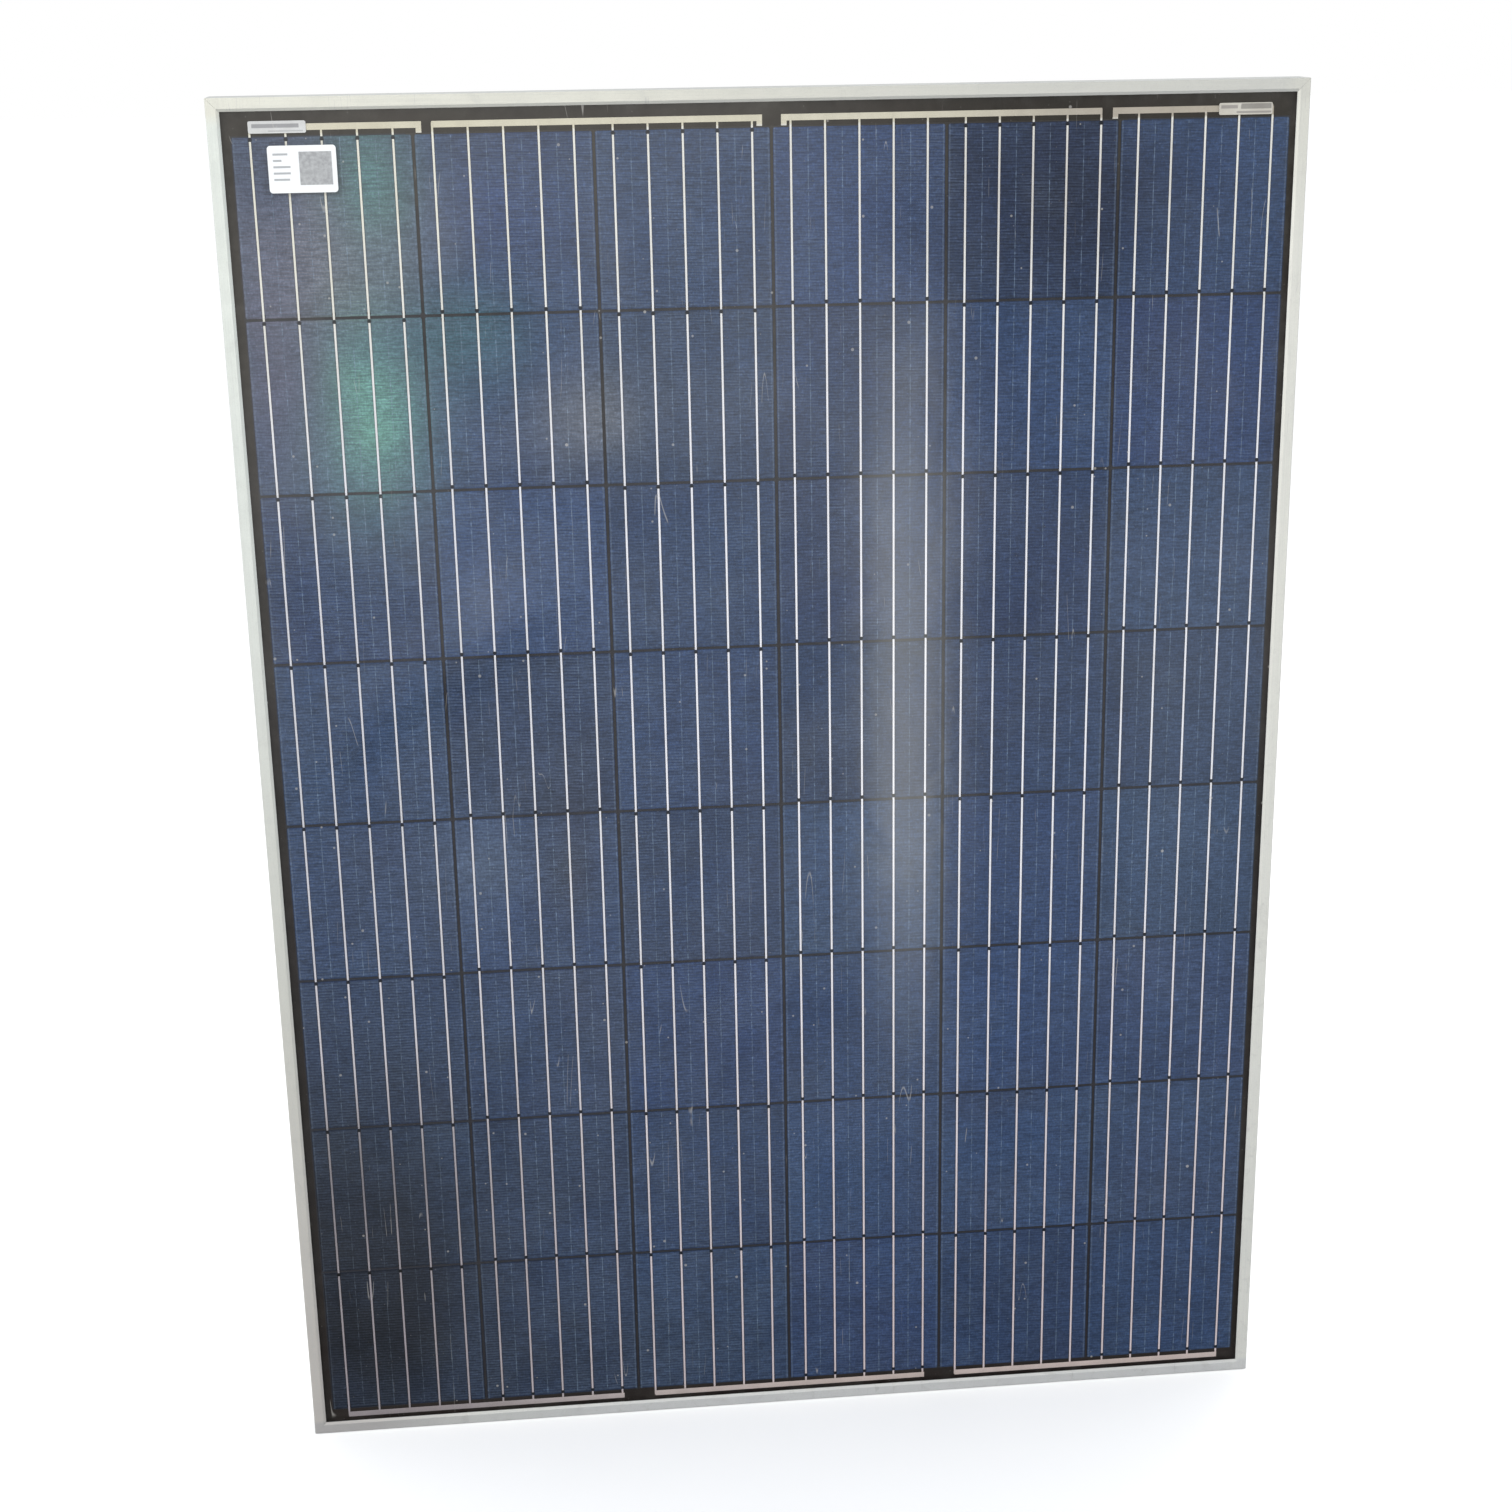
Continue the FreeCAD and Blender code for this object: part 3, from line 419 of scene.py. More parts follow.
@material
def anodised_aluminium(mat):
    # Fine die lines: along Z on the two side rails, along X on the top and bottom ones.
    on_side = abs(mat.x).step((WIDTH / 2 - 0.034, WIDTH / 2 - 0.0335))
    along_z = mat.noise(stretch=(2600, 2600, 9), detail=4.0, rough=0.62)
    along_x = mat.noise(stretch=(9, 2600, 2600), detail=4.0, rough=0.62)
    lines = on_side.colours(along_x, along_z)
    cloud = mat.noise(7.0, detail=4.0, rough=0.6)
    grain = mat.noise(900.0, detail=3.0, rough=0.7)
    blots = mat.noise(38.0, detail=5.0, rough=0.62, distortion=0.4)
    # The front faces of the four rails, where the reflected room is painted into the colour.
    frontal = mat.face_y().step((-0.3, -0.9))
    left = mat.x.step((-0.49, -0.40), to=FALL) * frontal
    right = mat.x.step((0.470, 0.485)) * frontal
    top = mat.z.step((1.305, 1.320)) * frontal
    bottom = mat.z.step((0.016, 0.010)) * mat.x.step((-0.35, -0.15)) * frontal
    reflected_cream = mat.z.step((1.30, 1.15)).colours((0.830, 0.825, 0.700), (0.950, 0.945, 0.835))
    reflected_top_tone = mat.x.step((-0.45, 0.35)).colours((0.860, 0.850, 0.690), (0.640, 0.625, 0.520))
    grime = mat.noise(60.0, detail=6.0, rough=0.68, distortion=0.8).step((0.50, 0.80))
    grime *= mat.z.step((0.0, 1.0), to=(0.55, 0.15))
    scratched = scratches(mat, 90, angle=0.9, width=0.012, keep=0.60, seed=3.1).max(
        scratches(mat, 130, angle=-0.6, width=0.010, keep=0.62, seed=9.4)
    )
    tone = cloud.ramp(
        (0.30, (0.550, 0.562, 0.540)),
        (0.55, (0.625, 0.640, 0.612)),
        (0.78, (0.700, 0.720, 0.680)),
    ).coat(
        # Right rail: painted reflection in cream.
        (right * mat.z.step((0.35, 0.80), to=(0.88, 1.0)), reflected_cream),
        # Left rail: painted reflection, greenish high up, olive and then brown lower down.
        (left * mat.z.step((0.0, HEIGHT)) * 0.98, (0.850, 0.940, 0.860)),
        (left * mat.z.step((0.35, 1.05), to=(0.72, 0.0)), (0.640, 0.630, 0.490)),
        (left * mat.z.step((0.0, 0.62), to=(0.88, 0.0)), (0.440, 0.355, 0.300)),
        # Top rail: painted reflection, darker towards the right.
        (top * mat.x.step((-0.1, 0.45), to=(0.95, 0.60)), reflected_top_tone),
        # Bottom rail: painted reflection, pale, but dark at its left end.
        (bottom * 0.80, (0.720, 0.725, 0.745)),
        (mat.z.step((0.016, 0.010)) * mat.x.step((-0.30, -0.48)), (0.25, 0.205, 0.200)),
        (lines.step((0.42, 0.72)) * 0.20, (0.36, 0.38, 0.38)),
        (blots.step((0.60, 0.78)) * 0.30, (0.44, 0.45, 0.43)),
        (grime, (0.27, 0.25, 0.22)),
        (scratched * 0.45, (0.24, 0.24, 0.24)),
        # Convex edges made lighter.
        (mat.geometry["Pointiness"].step((0.515, 0.56)) * 0.5, (0.86, 0.88, 0.88)),
        (grain.step((0.45, 0.75)) * 0.10, (0.30, 0.31, 0.32)),
    )
    mat.solid(
        tone,
        rough=(lines * 0.5 + blots * 0.5).step((0.3, 0.75), to=(0.34, 0.56)),
        height=lines * 0.6 + (grain * 0.25 + scratched * -0.8),
        strength=0.22,
        distance=0.00004,
        bounce=(0.50, 0.52, 0.51),
        Metallic=0.55,
    )


@material
def key_aluminium(mat):
    cloud = mat.noise(160.0, detail=5.0, rough=0.65)
    mat.solid(
        cloud.ramp((0.3, (0.36, 0.37, 0.37)), (0.7, (0.60, 0.61, 0.61))),
        rough=cloud.step((0.3, 0.7), to=(0.38, 0.6)),
        height=mat.noise(1400.0, detail=3.0, rough=0.7),
        strength=0.35,
        distance=0.00006,
        bounce=(0.45, 0.45, 0.45),
        Metallic=0.85,
    )


@material
def edge_silicone(mat):
    cloud = mat.noise(55.0, detail=4.0, rough=0.6)
    mat.solid(
        cloud.ramp((0.3, (0.010, 0.010, 0.011)), (0.7, (0.026, 0.025, 0.026))),
        rough=0.48,
        height=cloud + mat.noise(420.0, detail=2.0) * 0.3,
        strength=0.5,
        distance=0.0002,
        bounce=(0.018, 0.018, 0.018),
    )


@material
def front_glass(mat):
    facing = (mat.face_y() < -0.5) * (mat.y < -0.0145)  # only the outer front face
    # Very shallow rolling waviness and smears.
    wave = mat.noise(9.0, detail=3.0, rough=0.55, distortion=0.3)
    leaning = mat.mapped((16, 16, 5), turn=(0, 0.5, 0))
    smear = mat.noise(detail=5.0, rough=0.62, distortion=0.5, at=leaning)
    fog = mat.noise(3.2, detail=4.0, rough=0.6, distortion=0.6)
    ripple = mat.noise(260.0, detail=2.0)
    normal = mat.bump(wave * 1.0 + ripple * 0.010, strength=0.25, distance=0.0006)
    # Painted reflection: the soft room seen in the mirror direction, given as glow and brighter
    # where the glass is smeared.
    view = mat.geometry["Incoming"].scaled(-1.0)
    mirrored = mat.add("ShaderNodeVectorMath", {0: view, 1: normal}, operation="REFLECT")
    reflection_glow = room(mat, *mat.split(mirrored))
    reflection_glow = reflection_glow.scaled(smear.step((0.35, 0.75), to=(0.94, 1.10)))
    fresnel = mat.add("ShaderNodeFresnel", {"IOR": 1.49})
    body = fresnel.closures(mat.clear((0.985, 0.995, 0.988)), mat.glow(reflection_glow))
    mat.material.cycles.emission_sampling = "NONE"
    # Dust film, wipe marks, specks and hairline scratches on the outer face, shown as a painted
    # glow of scattered light.
    dust = fog.step((0.38, 0.72), to=(0.15, 1.0))
    dust *= mat.z.step((0.0, 0.6), to=(0.0030, 0.0065))
    wipe = smear.step((0.55, 0.80)) * mat.z.step((0.0, 0.6), to=(0.004, 0.010))
    spots = (specks(mat, 95.0, size=0.16) * 0.55).max(specks(mat, 26.0, size=0.055) * 0.75)
    spots = spots.max(specks(mat, 260.0, size=0.20) * 0.16)
    hairs = scratches(mat, 46, angle=0.42, width=0.0045, keep=0.63, seed=1.3).max(
        scratches(mat, 60, angle=-0.75, width=0.004, keep=0.65, seed=5.2)
    )
    hairs = hairs.max(scratches(mat, 34, angle=1.25, width=0.004, keep=0.64, seed=8.8))
    # Dirt gathered along the frame.
    side_rim = abs(mat.x).step((WIDTH / 2 - 0.035, WIDTH / 2 - 0.013))
    side_rim *= mat.z.step((0.1, 1.2), to=(0.45, 1.0))
    end_rim = mat.z.step((0.030, 0.013)).max(mat.z.step((HEIGHT - 0.030, HEIGHT - 0.013)))
    ragged = mat.noise(40.0, detail=4.0, rough=0.7).step((0.40, 0.75), to=(0.001, 0.028))
    rim = side_rim.max(end_rim) * ragged
    amount = (dust + wipe + (rim + (spots * 0.55 + hairs * 0.34))).min(0.75)
    # Painted light: the dust glows, lighter higher up.
    light = mat.z.step((0.0, HEIGHT), to=(0.72, 0.92))
    dust_glow = mat.glow(mat.vector(0.80, 0.78, 0.74).scaled(light))
    pane = mat.clear((0.985, 0.992, 0.988))
    mat.set_surface(facing.closures(pane, amount.closures(body, dust_glow)))


@material
def encapsulant(mat):
    cloud = mat.noise(24.0, detail=2.0, rough=0.6)
    yellowing = cloud.step((0.35, 0.70))
    clear = mat.clear(yellowing.colours((0.990, 0.992, 0.990), (0.965, 0.966, 0.955)))
    # Painted light: the milky haze is a faint glow.
    haze_glow = mat.glow(yellowing.colours((0.62, 0.63, 0.60), (0.72, 0.70, 0.64)))
    mat.material.cycles.emission_sampling = "NONE"
    front = mat.face_y() < -0.5
    haze_glow_amount = cloud.step((0.45, 0.8), to=(0.0005, 0.003))
    pane = mat.clear((0.985, 0.985, 0.98))
    mat.set_surface(front.closures(pane, haze_glow_amount.closures(clear, haze_glow)))


# Painted reflections: coloured and dark regions that run across several cells.
# Columns: x, z, radius in x, radius in z, turn, strength, colour.
PAINTED_REFLECTION_REGIONS = (
    (-0.405, 1.190, 0.095, 0.095, 0.0, 0.85, (0.350, 0.255, 0.245)),
    (-0.358, 1.260, 0.040, 0.065, 0.0, 0.80, (0.150, 0.290, 0.215)),
    (-0.372, 1.060, 0.050, 0.085, 0.0, 0.95, (0.255, 0.490, 0.320)),
    (-0.285, 1.125, 0.060, 0.050, 0.0, 0.75, (0.070, 0.175, 0.170)),
    (-0.445, 1.090, 0.045, 0.090, 0.0, 0.65, (0.190, 0.125, 0.160)),
    (-0.240, 1.220, 0.055, 0.060, 0.0, 0.55, (0.028, 0.060, 0.175)),
    (-0.170, 1.045, 0.048, 0.045, 0.3, 0.70, (0.330, 0.270, 0.240)),
    (-0.208, 0.610, 0.036, 0.080, 0.0, 0.65, (0.055, 0.044, 0.050)),
    (-0.300, 0.615, 0.045, 0.055, 0.0, 0.55, (0.165, 0.175, 0.215)),
    (0.420, 0.690, 0.120, 0.250, 0.0, 0.45, (0.100, 0.130, 0.185)),
    (0.270, 1.230, 0.120, 0.085, 0.0, 0.85, (0.014, 0.019, 0.046)),
    (0.250, 0.820, 0.070, 0.220, 0.0, 0.45, (0.026, 0.046, 0.118)),
    (-0.450, 0.090, 0.150, 0.160, 0.0, 0.85, (0.010, 0.011, 0.016)),
    (-0.440, 0.300, 0.110, 0.150, 0.0, 0.55, (0.020, 0.026, 0.045)),
    (-0.180, 0.060, 0.200, 0.080, 0.0, 0.50, (0.018, 0.022, 0.036)),
)


def print_lines(place, pitch, half_width, softness):
    distance = from_lines(place / pitch, pitch)
    return distance.step((half_width, half_width + softness), to=FALL)


@material
def silicon_cell(mat):
    grid_x, grid_z = grid_place(mat)
    column, row = grid_x.floor(), grid_z.floor()
    # Place within a cell, from its middle.
    across = (grid_x - column - 0.5) * COLUMN_PITCH
    up = (grid_z - row - 0.5) * ROW_PITCH
    # Three random values per cell, which also shift each cell's own patterns.
    random_1, random_2, random_3 = (mat.random(column, row, seed) for seed in (3.0, 11.0, 23.0))
    shift = mat.vector(random_1 * 7.0, random_2 * 7.0, random_3 * 7.0)
    own_place = mat.add("ShaderNodeVectorMath", {0: mat.place, 1: shift}, operation="ADD")

    # Base: deep slate blue, each cell a little different.
    cloud = mat.noise(11.0, detail=3.0, rough=0.55, distortion=0.5, at=own_place)
    hue = mat.noise(6.0, detail=2.0, distortion=0.3, at=own_place)
    tone = (cloud * 0.62 + random_1 * 0.38).ramp(
        (0.22, (0.026, 0.040, 0.084)),
        (0.50, (0.038, 0.066, 0.142)),
        (0.80, (0.058, 0.092, 0.168)),
    ).coat(
        (hue.step((0.45, 0.70)) * 0.50, (0.052, 0.060, 0.110)),
        (random_2.step((0.45, 1.0)) * 0.40, (0.050, 0.082, 0.135)),
        (random_3.step((0.60, 1.0)) * 0.35, (0.030, 0.052, 0.150)),
    )
    brightness = random_3 * 0.5 + random_1 * 0.5
    tone = tone.scaled(brightness.step((0.10, 0.90), to=(0.86, 1.14), smooth=False))

    # Painted reflections laid over the cells.
    uneven = mat.noise(14.0, detail=3.0, rough=0.55)
    for *ellipse, strength, colour in PAINTED_REFLECTION_REGIONS:
        span = (0.75 * strength, 1.15 * strength)
        amount = mat.blob(*ellipse) * uneven.step((0.25, 0.75), to=span)
        tone = tone.coat((amount.min(1.0), colour))

    # Darker towards each cell's edges.
    edge_distance = abs(across).max(abs(up))
    tone = tone.shaded(edge_distance.step((0.045, 0.079), to=(0.0, 0.16)), 0.72)

    # Printed fingers, with a wider set at twice their pitch.
    wobble = (mat.noise(90.0, detail=2.0) - 0.5) * 0.00006
    height = up + wobble
    fine = print_lines(height, FINGER_PITCH, half_width=0.00012, softness=0.00016)
    coarse = print_lines(
        height + FINGER_PITCH / 4, FINGER_PITCH * 2, half_width=0.00040, softness=0.00060
    )
    inside = edge_distance.step((0.0770, 0.0774), to=FALL)
    patches = mat.noise(17.0, detail=3.0, rough=0.6)
    strength = patches * 0.7 + mat.x.step((0.45, -0.45)) * 0.25
    strength = strength.step((0.30, 0.70), to=(0.30, 0.95))

    # A dashed line midway between neighbouring ribbons.
    middle = from_lines(across / RIBBON_PITCH + 0.0, RIBBON_PITCH)
    middle = middle.step((0.00018, 0.00055), to=FALL)
    dash_row, dash_column = (up / 0.0030).floor(), (mat.x / (RIBBON_PITCH / 2)).floor()
    dashes = mat.random(dash_row, dash_column, row).step((0.25, 0.60), to=(0.25, 1.0))

    # Reddish dark edge beside each ribbon, and a pale outline where the print ends.
    from_ribbon = from_lines(across / RIBBON_PITCH + 0.5, RIBBON_PITCH)
    near_ribbon = from_ribbon.step((0.0010, 0.0022), to=FALL)
    near_ribbon *= abs(across).step((0.066, 0.068), to=FALL)
    side_outline = abs(across).step((0.0760, 0.0768))
    side_outline *= abs(across).step((0.0776, 0.0781), to=FALL)
    end_outline = abs(up).step((0.0765, 0.0770))
    end_outline *= abs(up).step((0.0776, 0.0780), to=FALL)

    # Dark dot where each ribbon passes between two rows.
    from_joint = abs(up) - 0.0762
    dot_distance = (from_ribbon * from_ribbon + from_joint * from_joint).sqrt()
    dots = dot_distance.step((0.0013, 0.0024), to=FALL)
    dots *= abs(across).step((0.066, 0.068), to=FALL)
    tone = tone.coat(
        (fine * inside * (strength * 0.75), (0.185, 0.195, 0.230)),
        (coarse * inside * (strength * 0.40), (0.165, 0.180, 0.220)),
        (middle * dashes * (inside * 0.46), (0.34, 0.37, 0.41)),
        (near_ribbon * mat.z.step((0.2, 0.9), to=(0.70, 0.40)), (0.040, 0.026, 0.030)),
        (side_outline * 0.32, (0.26, 0.27, 0.30)),
        (end_outline * 0.12, (0.24, 0.25, 0.28)),
        (dots * 0.85, (0.012, 0.012, 0.014)),
    )

    # Crystal grain: faint angular facets and fine mottling.
    facet_place = mat.mapped((1.0, 1.0, 0.72), at=own_place)
    facets = mat.split(mat.voronoi(34.0, at=facet_place, out="Color"), "Color")
    tone = tone.shaded(facets[0] * 0.10, 1.55)
    bright_mottle = mat.noise(420.0, detail=3.0, rough=0.7)
    tone = tone.shaded(bright_mottle.step((0.45, 0.75), to=(0.0, 0.60)), 1.8)
    dark_mottle = mat.noise(150.0, detail=4.0, rough=0.65)
    tone = tone.shaded(dark_mottle.step((0.30, 0.55), to=(0.30, 0.0)), 0.55)

    # Painted dark reflection low on the left, then short level streaks and upright ticks all
    # over.
    dark_reflection = (mat.blob(-0.440, 0.165, radius_x=0.130, radius_z=0.190) * 1.3).min(1.0)
    tone = tone.coat((dark_reflection, tone.tinted((0.46, 0.42, 0.40))))
    streaks = mat.noise(
        stretch=(85, 1, 560), at=own_place, detail=3.0, rough=0.60, distortion=0.15
    )
    tone = tone.scaled(streaks.step((0.33, 0.67), to=(0.80, 1.22)))
    ticks = mat.noise(stretch=(640, 1, 210), detail=2.0, rough=0.6)
    tone = tone.scaled(ticks.step((0.36, 0.64), to=(0.90, 1.10)))
    # The coating swallows red most and blue least.
    tone = tone.tinted((0.45, 0.57, 0.72))
    mat.solid(
        tone,
        rough=(cloud * 0.6 + facets[2] * 0.4).step((0.3, 0.7), to=(0.42, 0.62)),
        height=mat.noise(420.0, detail=1.0, rough=0.7),
        strength=0.25,
        distance=0.00004,
        bounce=(0.038, 0.064, 0.130),
        Specular_IOR_Level=0.16,
    )


@material
def tinned_copper(mat):
    slow = mat.noise(stretch=(60, 60, 16), detail=3.0, rough=0.6)
    patches = mat.noise(5.0, detail=3.0, rough=0.6)
    fine = mat.noise(stretch=(1500, 800, 170), detail=3.0, rough=0.65)
    # Painted reflections: the ribbons' colour changes by place as the reflected room does,
    # lighter higher up, warm at the upper left, darker on the left, dark low on the left and at
    # the top right, bright in the middle.
    warm = mat.x.step((-0.05, -0.40)) * mat.z.step((0.95, 1.25))
    left = mat.x.step((0.10, -0.46)) * mat.z.step((1.15, 0.75))
    low_left = mat.x.step((-0.10, -0.42)) * mat.z.step((0.45, 0.25))
    top_right = mat.z.step((1.2985, 1.3015)) * mat.x.step((0.12, 0.32))
    dark_reflection_patch = mat.blob(-0.420, 0.285, radius_x=0.090, radius_z=0.085)
    bright_reflection_patch = mat.blob(0.080, 0.740, radius_x=0.300, radius_z=0.320)
    dull_reflection_patch = mat.blob(0.260, 1.240, radius_x=0.110, radius_z=0.055)
    by_height = mat.z.step((0.05, 0.75))
    tone = by_height.colours((0.600, 0.510, 0.545), (0.715, 0.705, 0.770)).coat(
        (mat.z.step((0.98, 1.25)), (0.700, 0.680, 0.655)),
        (warm * 0.45, (0.70, 0.665, 0.540)),
        # Above the top row of cells and below the bottom one.
        (mat.z.step((1.2985, 1.3015)), (0.575, 0.530, 0.420)),
        (top_right, (0.38, 0.33, 0.27)),
        (mat.z.step((0.0225, 0.0205)), (0.560, 0.455, 0.435)),
        (left * 0.45, (0.38, 0.37, 0.42)),
        (low_left * 0.64, (0.180, 0.155, 0.180)),
        (dark_reflection_patch * 0.55, (0.070, 0.070, 0.090)),
        (bright_reflection_patch * 0.75, (0.850, 0.835, 0.910)),
        (dull_reflection_patch * 0.55, (0.480, 0.440, 0.450)),
    )
    tone = tone.shaded(slow.step((0.35, 0.70), to=(0.0, 0.35)), 0.78)
    tone = tone.shaded(patches.step((0.35, 0.65), to=(0.0, 0.30)), 1.12)
    tone = tone.coat((fine.step((0.50, 0.80), to=(0.0, 0.25)), (0.55, 0.46, 0.42)))
    mat.solid(
        tone,
        rough=fine.step((0.3, 0.7), to=(0.35, 0.58)),
        height=fine * 0.5 + slow * 0.8,
        strength=0.35,
        distance=0.00012,
        bounce=(0.60, 0.57, 0.56),
        Metallic=0.05,
    )


@material
def black_film(mat):
    cloud = mat.noise(35.0, detail=5.0, rough=0.65)
    mat.solid(
        cloud.ramp((0.3, (0.016, 0.014, 0.014)), (0.7, (0.032, 0.028, 0.026))),
        rough=cloud.step((0.3, 0.7), to=(0.45, 0.62)),
        height=cloud + mat.noise(700.0, detail=2.0) * 0.4,
        strength=0.4,
        distance=0.00008,
        bounce=(0.024, 0.021, 0.020),
    )


@material
def backsheet(mat):
    rear = mat.face_y() > 0.5
    grid_x, grid_z = grid_place(mat)
    across = (grid_x.fract() - 0.5) * COLUMN_PITCH
    up = (grid_z.fract() - 0.5) * ROW_PITCH
    in_grid = (grid_x > 0.0) * (grid_x < COLUMNS) * ((grid_z > 0.0) * (grid_z < ROWS))

    # Front side: brown-black with a fine fabric-like grain, bluish in the gaps of the grid.
    cloud = mat.noise(26.0, detail=5.0, rough=0.65, distortion=0.3)
    weave = mat.noise(900.0, detail=3.0, rough=0.6)
    row_gap = abs(up).step((0.0776, 0.0786)) * abs(across).step((0.0790, 0.0782))
    seam = (ROW_PITCH / 2 - abs(up)).step((0.0002, 0.0009))
    black = cloud.ramp((0.30, (0.007, 0.0028, 0.0024)), (0.70, (0.016, 0.0080, 0.0070))).coat(
        (mat.z.step((0.3, 1.25)) * 0.6, (0.018, 0.0135, 0.0095)),
        (weave.step((0.5, 0.8)) * 0.3, (0.034, 0.029, 0.026)),
        (in_grid * 0.60, (0.016, 0.018, 0.032)),
        (in_grid * row_gap * (seam * 0.80), (0.024, 0.032, 0.055)),
    )

    # Rear side: off-white film with cells and ribbons showing through as faint relief.
    plate = abs(across).max(abs(up)).step((0.0765, 0.0795), to=FALL) * in_grid
    ribbon = from_lines(across / RIBBON_PITCH + 0.5, RIBBON_PITCH)
    ribbon = ribbon.step((0.0008, 0.0024), to=FALL)
    ribbon *= abs(across).step((0.066, 0.070), to=FALL)
    ribbon *= in_grid
    stain = mat.noise(5.0, detail=5.0, rough=0.62, distortion=0.6)
    grime = mat.noise(48.0, detail=5.0, rough=0.7, distortion=0.5).step((0.55, 0.85))
    from_edge = (WIDTH / 2 - abs(mat.x)).min(mat.z.min(HEIGHT - mat.z))
    edge_dirt = mat.noise(30.0, detail=5.0, rough=0.7).step((0.35, 0.75), to=(0.1, 0.6))
    edge_dirt = from_edge.step((0.010, 0.055), to=FALL) * edge_dirt
    streaks = mat.noise(stretch=(55, 1, 2.2), detail=4.0, rough=0.6)
    # Small ragged dirt specks.
    jitter = mat.noise(420.0, detail=3.0, rough=0.7, out="Color")
    jittered = mat.add(
        "ShaderNodeVectorMath",
        {0: jitter, 1: (0.0045, 0.0045, 0.0045), 2: mat.place},
        operation="MULTIPLY_ADD",
    )
    spots = specks(mat, 85.0, size=0.085, at=jittered)
    spots *= mat.noise(300.0, detail=3.0, rough=0.7).step((0.40, 0.62))
    white = stain.ramp(
        (0.30, (0.56, 0.56, 0.54)),
        (0.55, (0.655, 0.66, 0.65)),
        (0.80, (0.715, 0.72, 0.715)),
    ).coat(
        (plate * 0.16, (0.47, 0.49, 0.52)),
        (ribbon * 0.14, (0.42, 0.42, 0.42)),
        (grime * 0.35, (0.47, 0.44, 0.38)),
        (edge_dirt, (0.42, 0.40, 0.36)),
        (streaks.step((0.58, 0.80)) * 0.22, (0.50, 0.48, 0.43)),
        (spots * 0.50, (0.26, 0.235, 0.20)),
    )
    rolling = mat.noise(60.0, detail=3.0)
    relief = plate * 1.0 + ribbon * 0.7 + (rolling * 0.25 + weave * 0.06)
    mat.solid(
        rear.colours(black, white),
        rough=mat.noise(80.0, detail=3.0).step((0.3, 0.7), to=(0.36, 0.58)),
        height=rear.colours(weave * 0.3, relief),
        strength=0.35,
        distance=0.00022,
        bounce=rear.colours((0.02, 0.017, 0.016), (0.65, 0.655, 0.645)),
    )


def paper(mat, base, worn):
    """Paper colour going from base to worn in clouds, and the fibre pattern itself."""
    fibre = mat.noise(stretch=(900, 900, 500), detail=4.0, rough=0.7)
    cloud = mat.noise(60.0, detail=4.0, rough=0.6)
    tone = cloud.step((0.35, 0.75), to=(0.0, 0.55)).colours(base, worn)
    fibre_tone = tuple(0.8 * part for part in worn)
    return tone.coat((fibre.step((0.50, 0.80), to=(0.0, 0.14)), fibre_tone)), fibre


@material
def sticker_white(mat):
    """White sticker on the glass: one plain grey square and rows of plain grey bars."""
    tone, fibre = paper(mat, base=(0.80, 0.82, 0.83), worn=(0.72, 0.74, 0.76))
    # The unevenly inked square, on the right half of the sticker.
    half = 0.0145
    square_left, square_bottom = -0.41835, 1.2564
    from_middle = abs(mat.x - (square_left + half)).max(abs(mat.z - (square_bottom + half)))
    ink = from_middle.step((half - 0.0004, half), to=FALL)
    ink *= mat.noise(260.0, detail=3.0, rough=0.6).step((0.30, 0.70), to=(0.50, 0.66))
    # Five short bars on the left, from the top down.
    bars_left, top_bar_z, bar_pitch, bar_height = -0.4408, 1.2822, 0.0054, 0.0018
    rows = None
    for i, length in enumerate((0.0130, 0.0075, 0.0150, 0.0148, 0.0138)):
        bottom = top_bar_z - i * bar_pitch
        row = bar(mat, bars_left, bars_left + length, bottom, bottom + bar_height)
        rows = rows.max(row) if rows else row
    scratched = scratches(mat, 160, angle=0.5, width=0.01, keep=0.6, seed=2.2)
    mat.solid(
        tone.coat(
            (ink, (0.045, 0.046, 0.055)),
            (rows * 0.62, (0.14, 0.15, 0.17)),
            (scratched * 0.25, (0.55, 0.57, 0.60)),
        ),
        rough=fibre.step((0.3, 0.7), to=(0.34, 0.5)),
        height=fibre * 0.4 + mat.noise(70.0, detail=2.0),
        strength=0.25,
        distance=0.00008,
        bounce=(0.70, 0.71, 0.72),
    )


@material
def label_white(mat):
    tone, fibre = paper(mat, base=(0.60, 0.60, 0.61), worn=(0.47, 0.46, 0.46))
    upper = bar(mat, left=-0.4575, right=-0.4165, bottom=1.3056, top=1.3090)
    lower = bar(mat, left=-0.4435, right=-0.4130, bottom=1.3022, top=1.3035)
    mat.solid(
        tone.coat((upper * 0.66, (0.13, 0.13, 0.15)), (lower * 0.45, (0.22, 0.22, 0.24))),
        rough=0.42,
        height=fibre,
        strength=0.3,
        distance=0.00006,
        bounce=(0.52, 0.52, 0.52),
    )


@material
def label_beige(mat):
    tone, fibre = paper(mat, base=(0.52, 0.49, 0.44), worn=(0.42, 0.38, 0.34))
    strip = bar(mat, left=0.4330, right=0.4615, bottom=1.3055, top=1.3102)
    upper = bar(mat, left=0.4145, right=0.4300, bottom=1.3060, top=1.3090)
    lower = bar(mat, left=0.4290, right=0.4615, bottom=1.3018, top=1.3036)
    mat.solid(
        tone.coat(
            (strip * 0.55, (0.06, 0.055, 0.06)),
            (upper.max(lower) * 0.55, (0.13, 0.11, 0.12)),
        ),
        rough=0.5,
        height=fibre,
        strength=0.3,
        distance=0.00006,
        bounce=(0.46, 0.43, 0.39),
    )


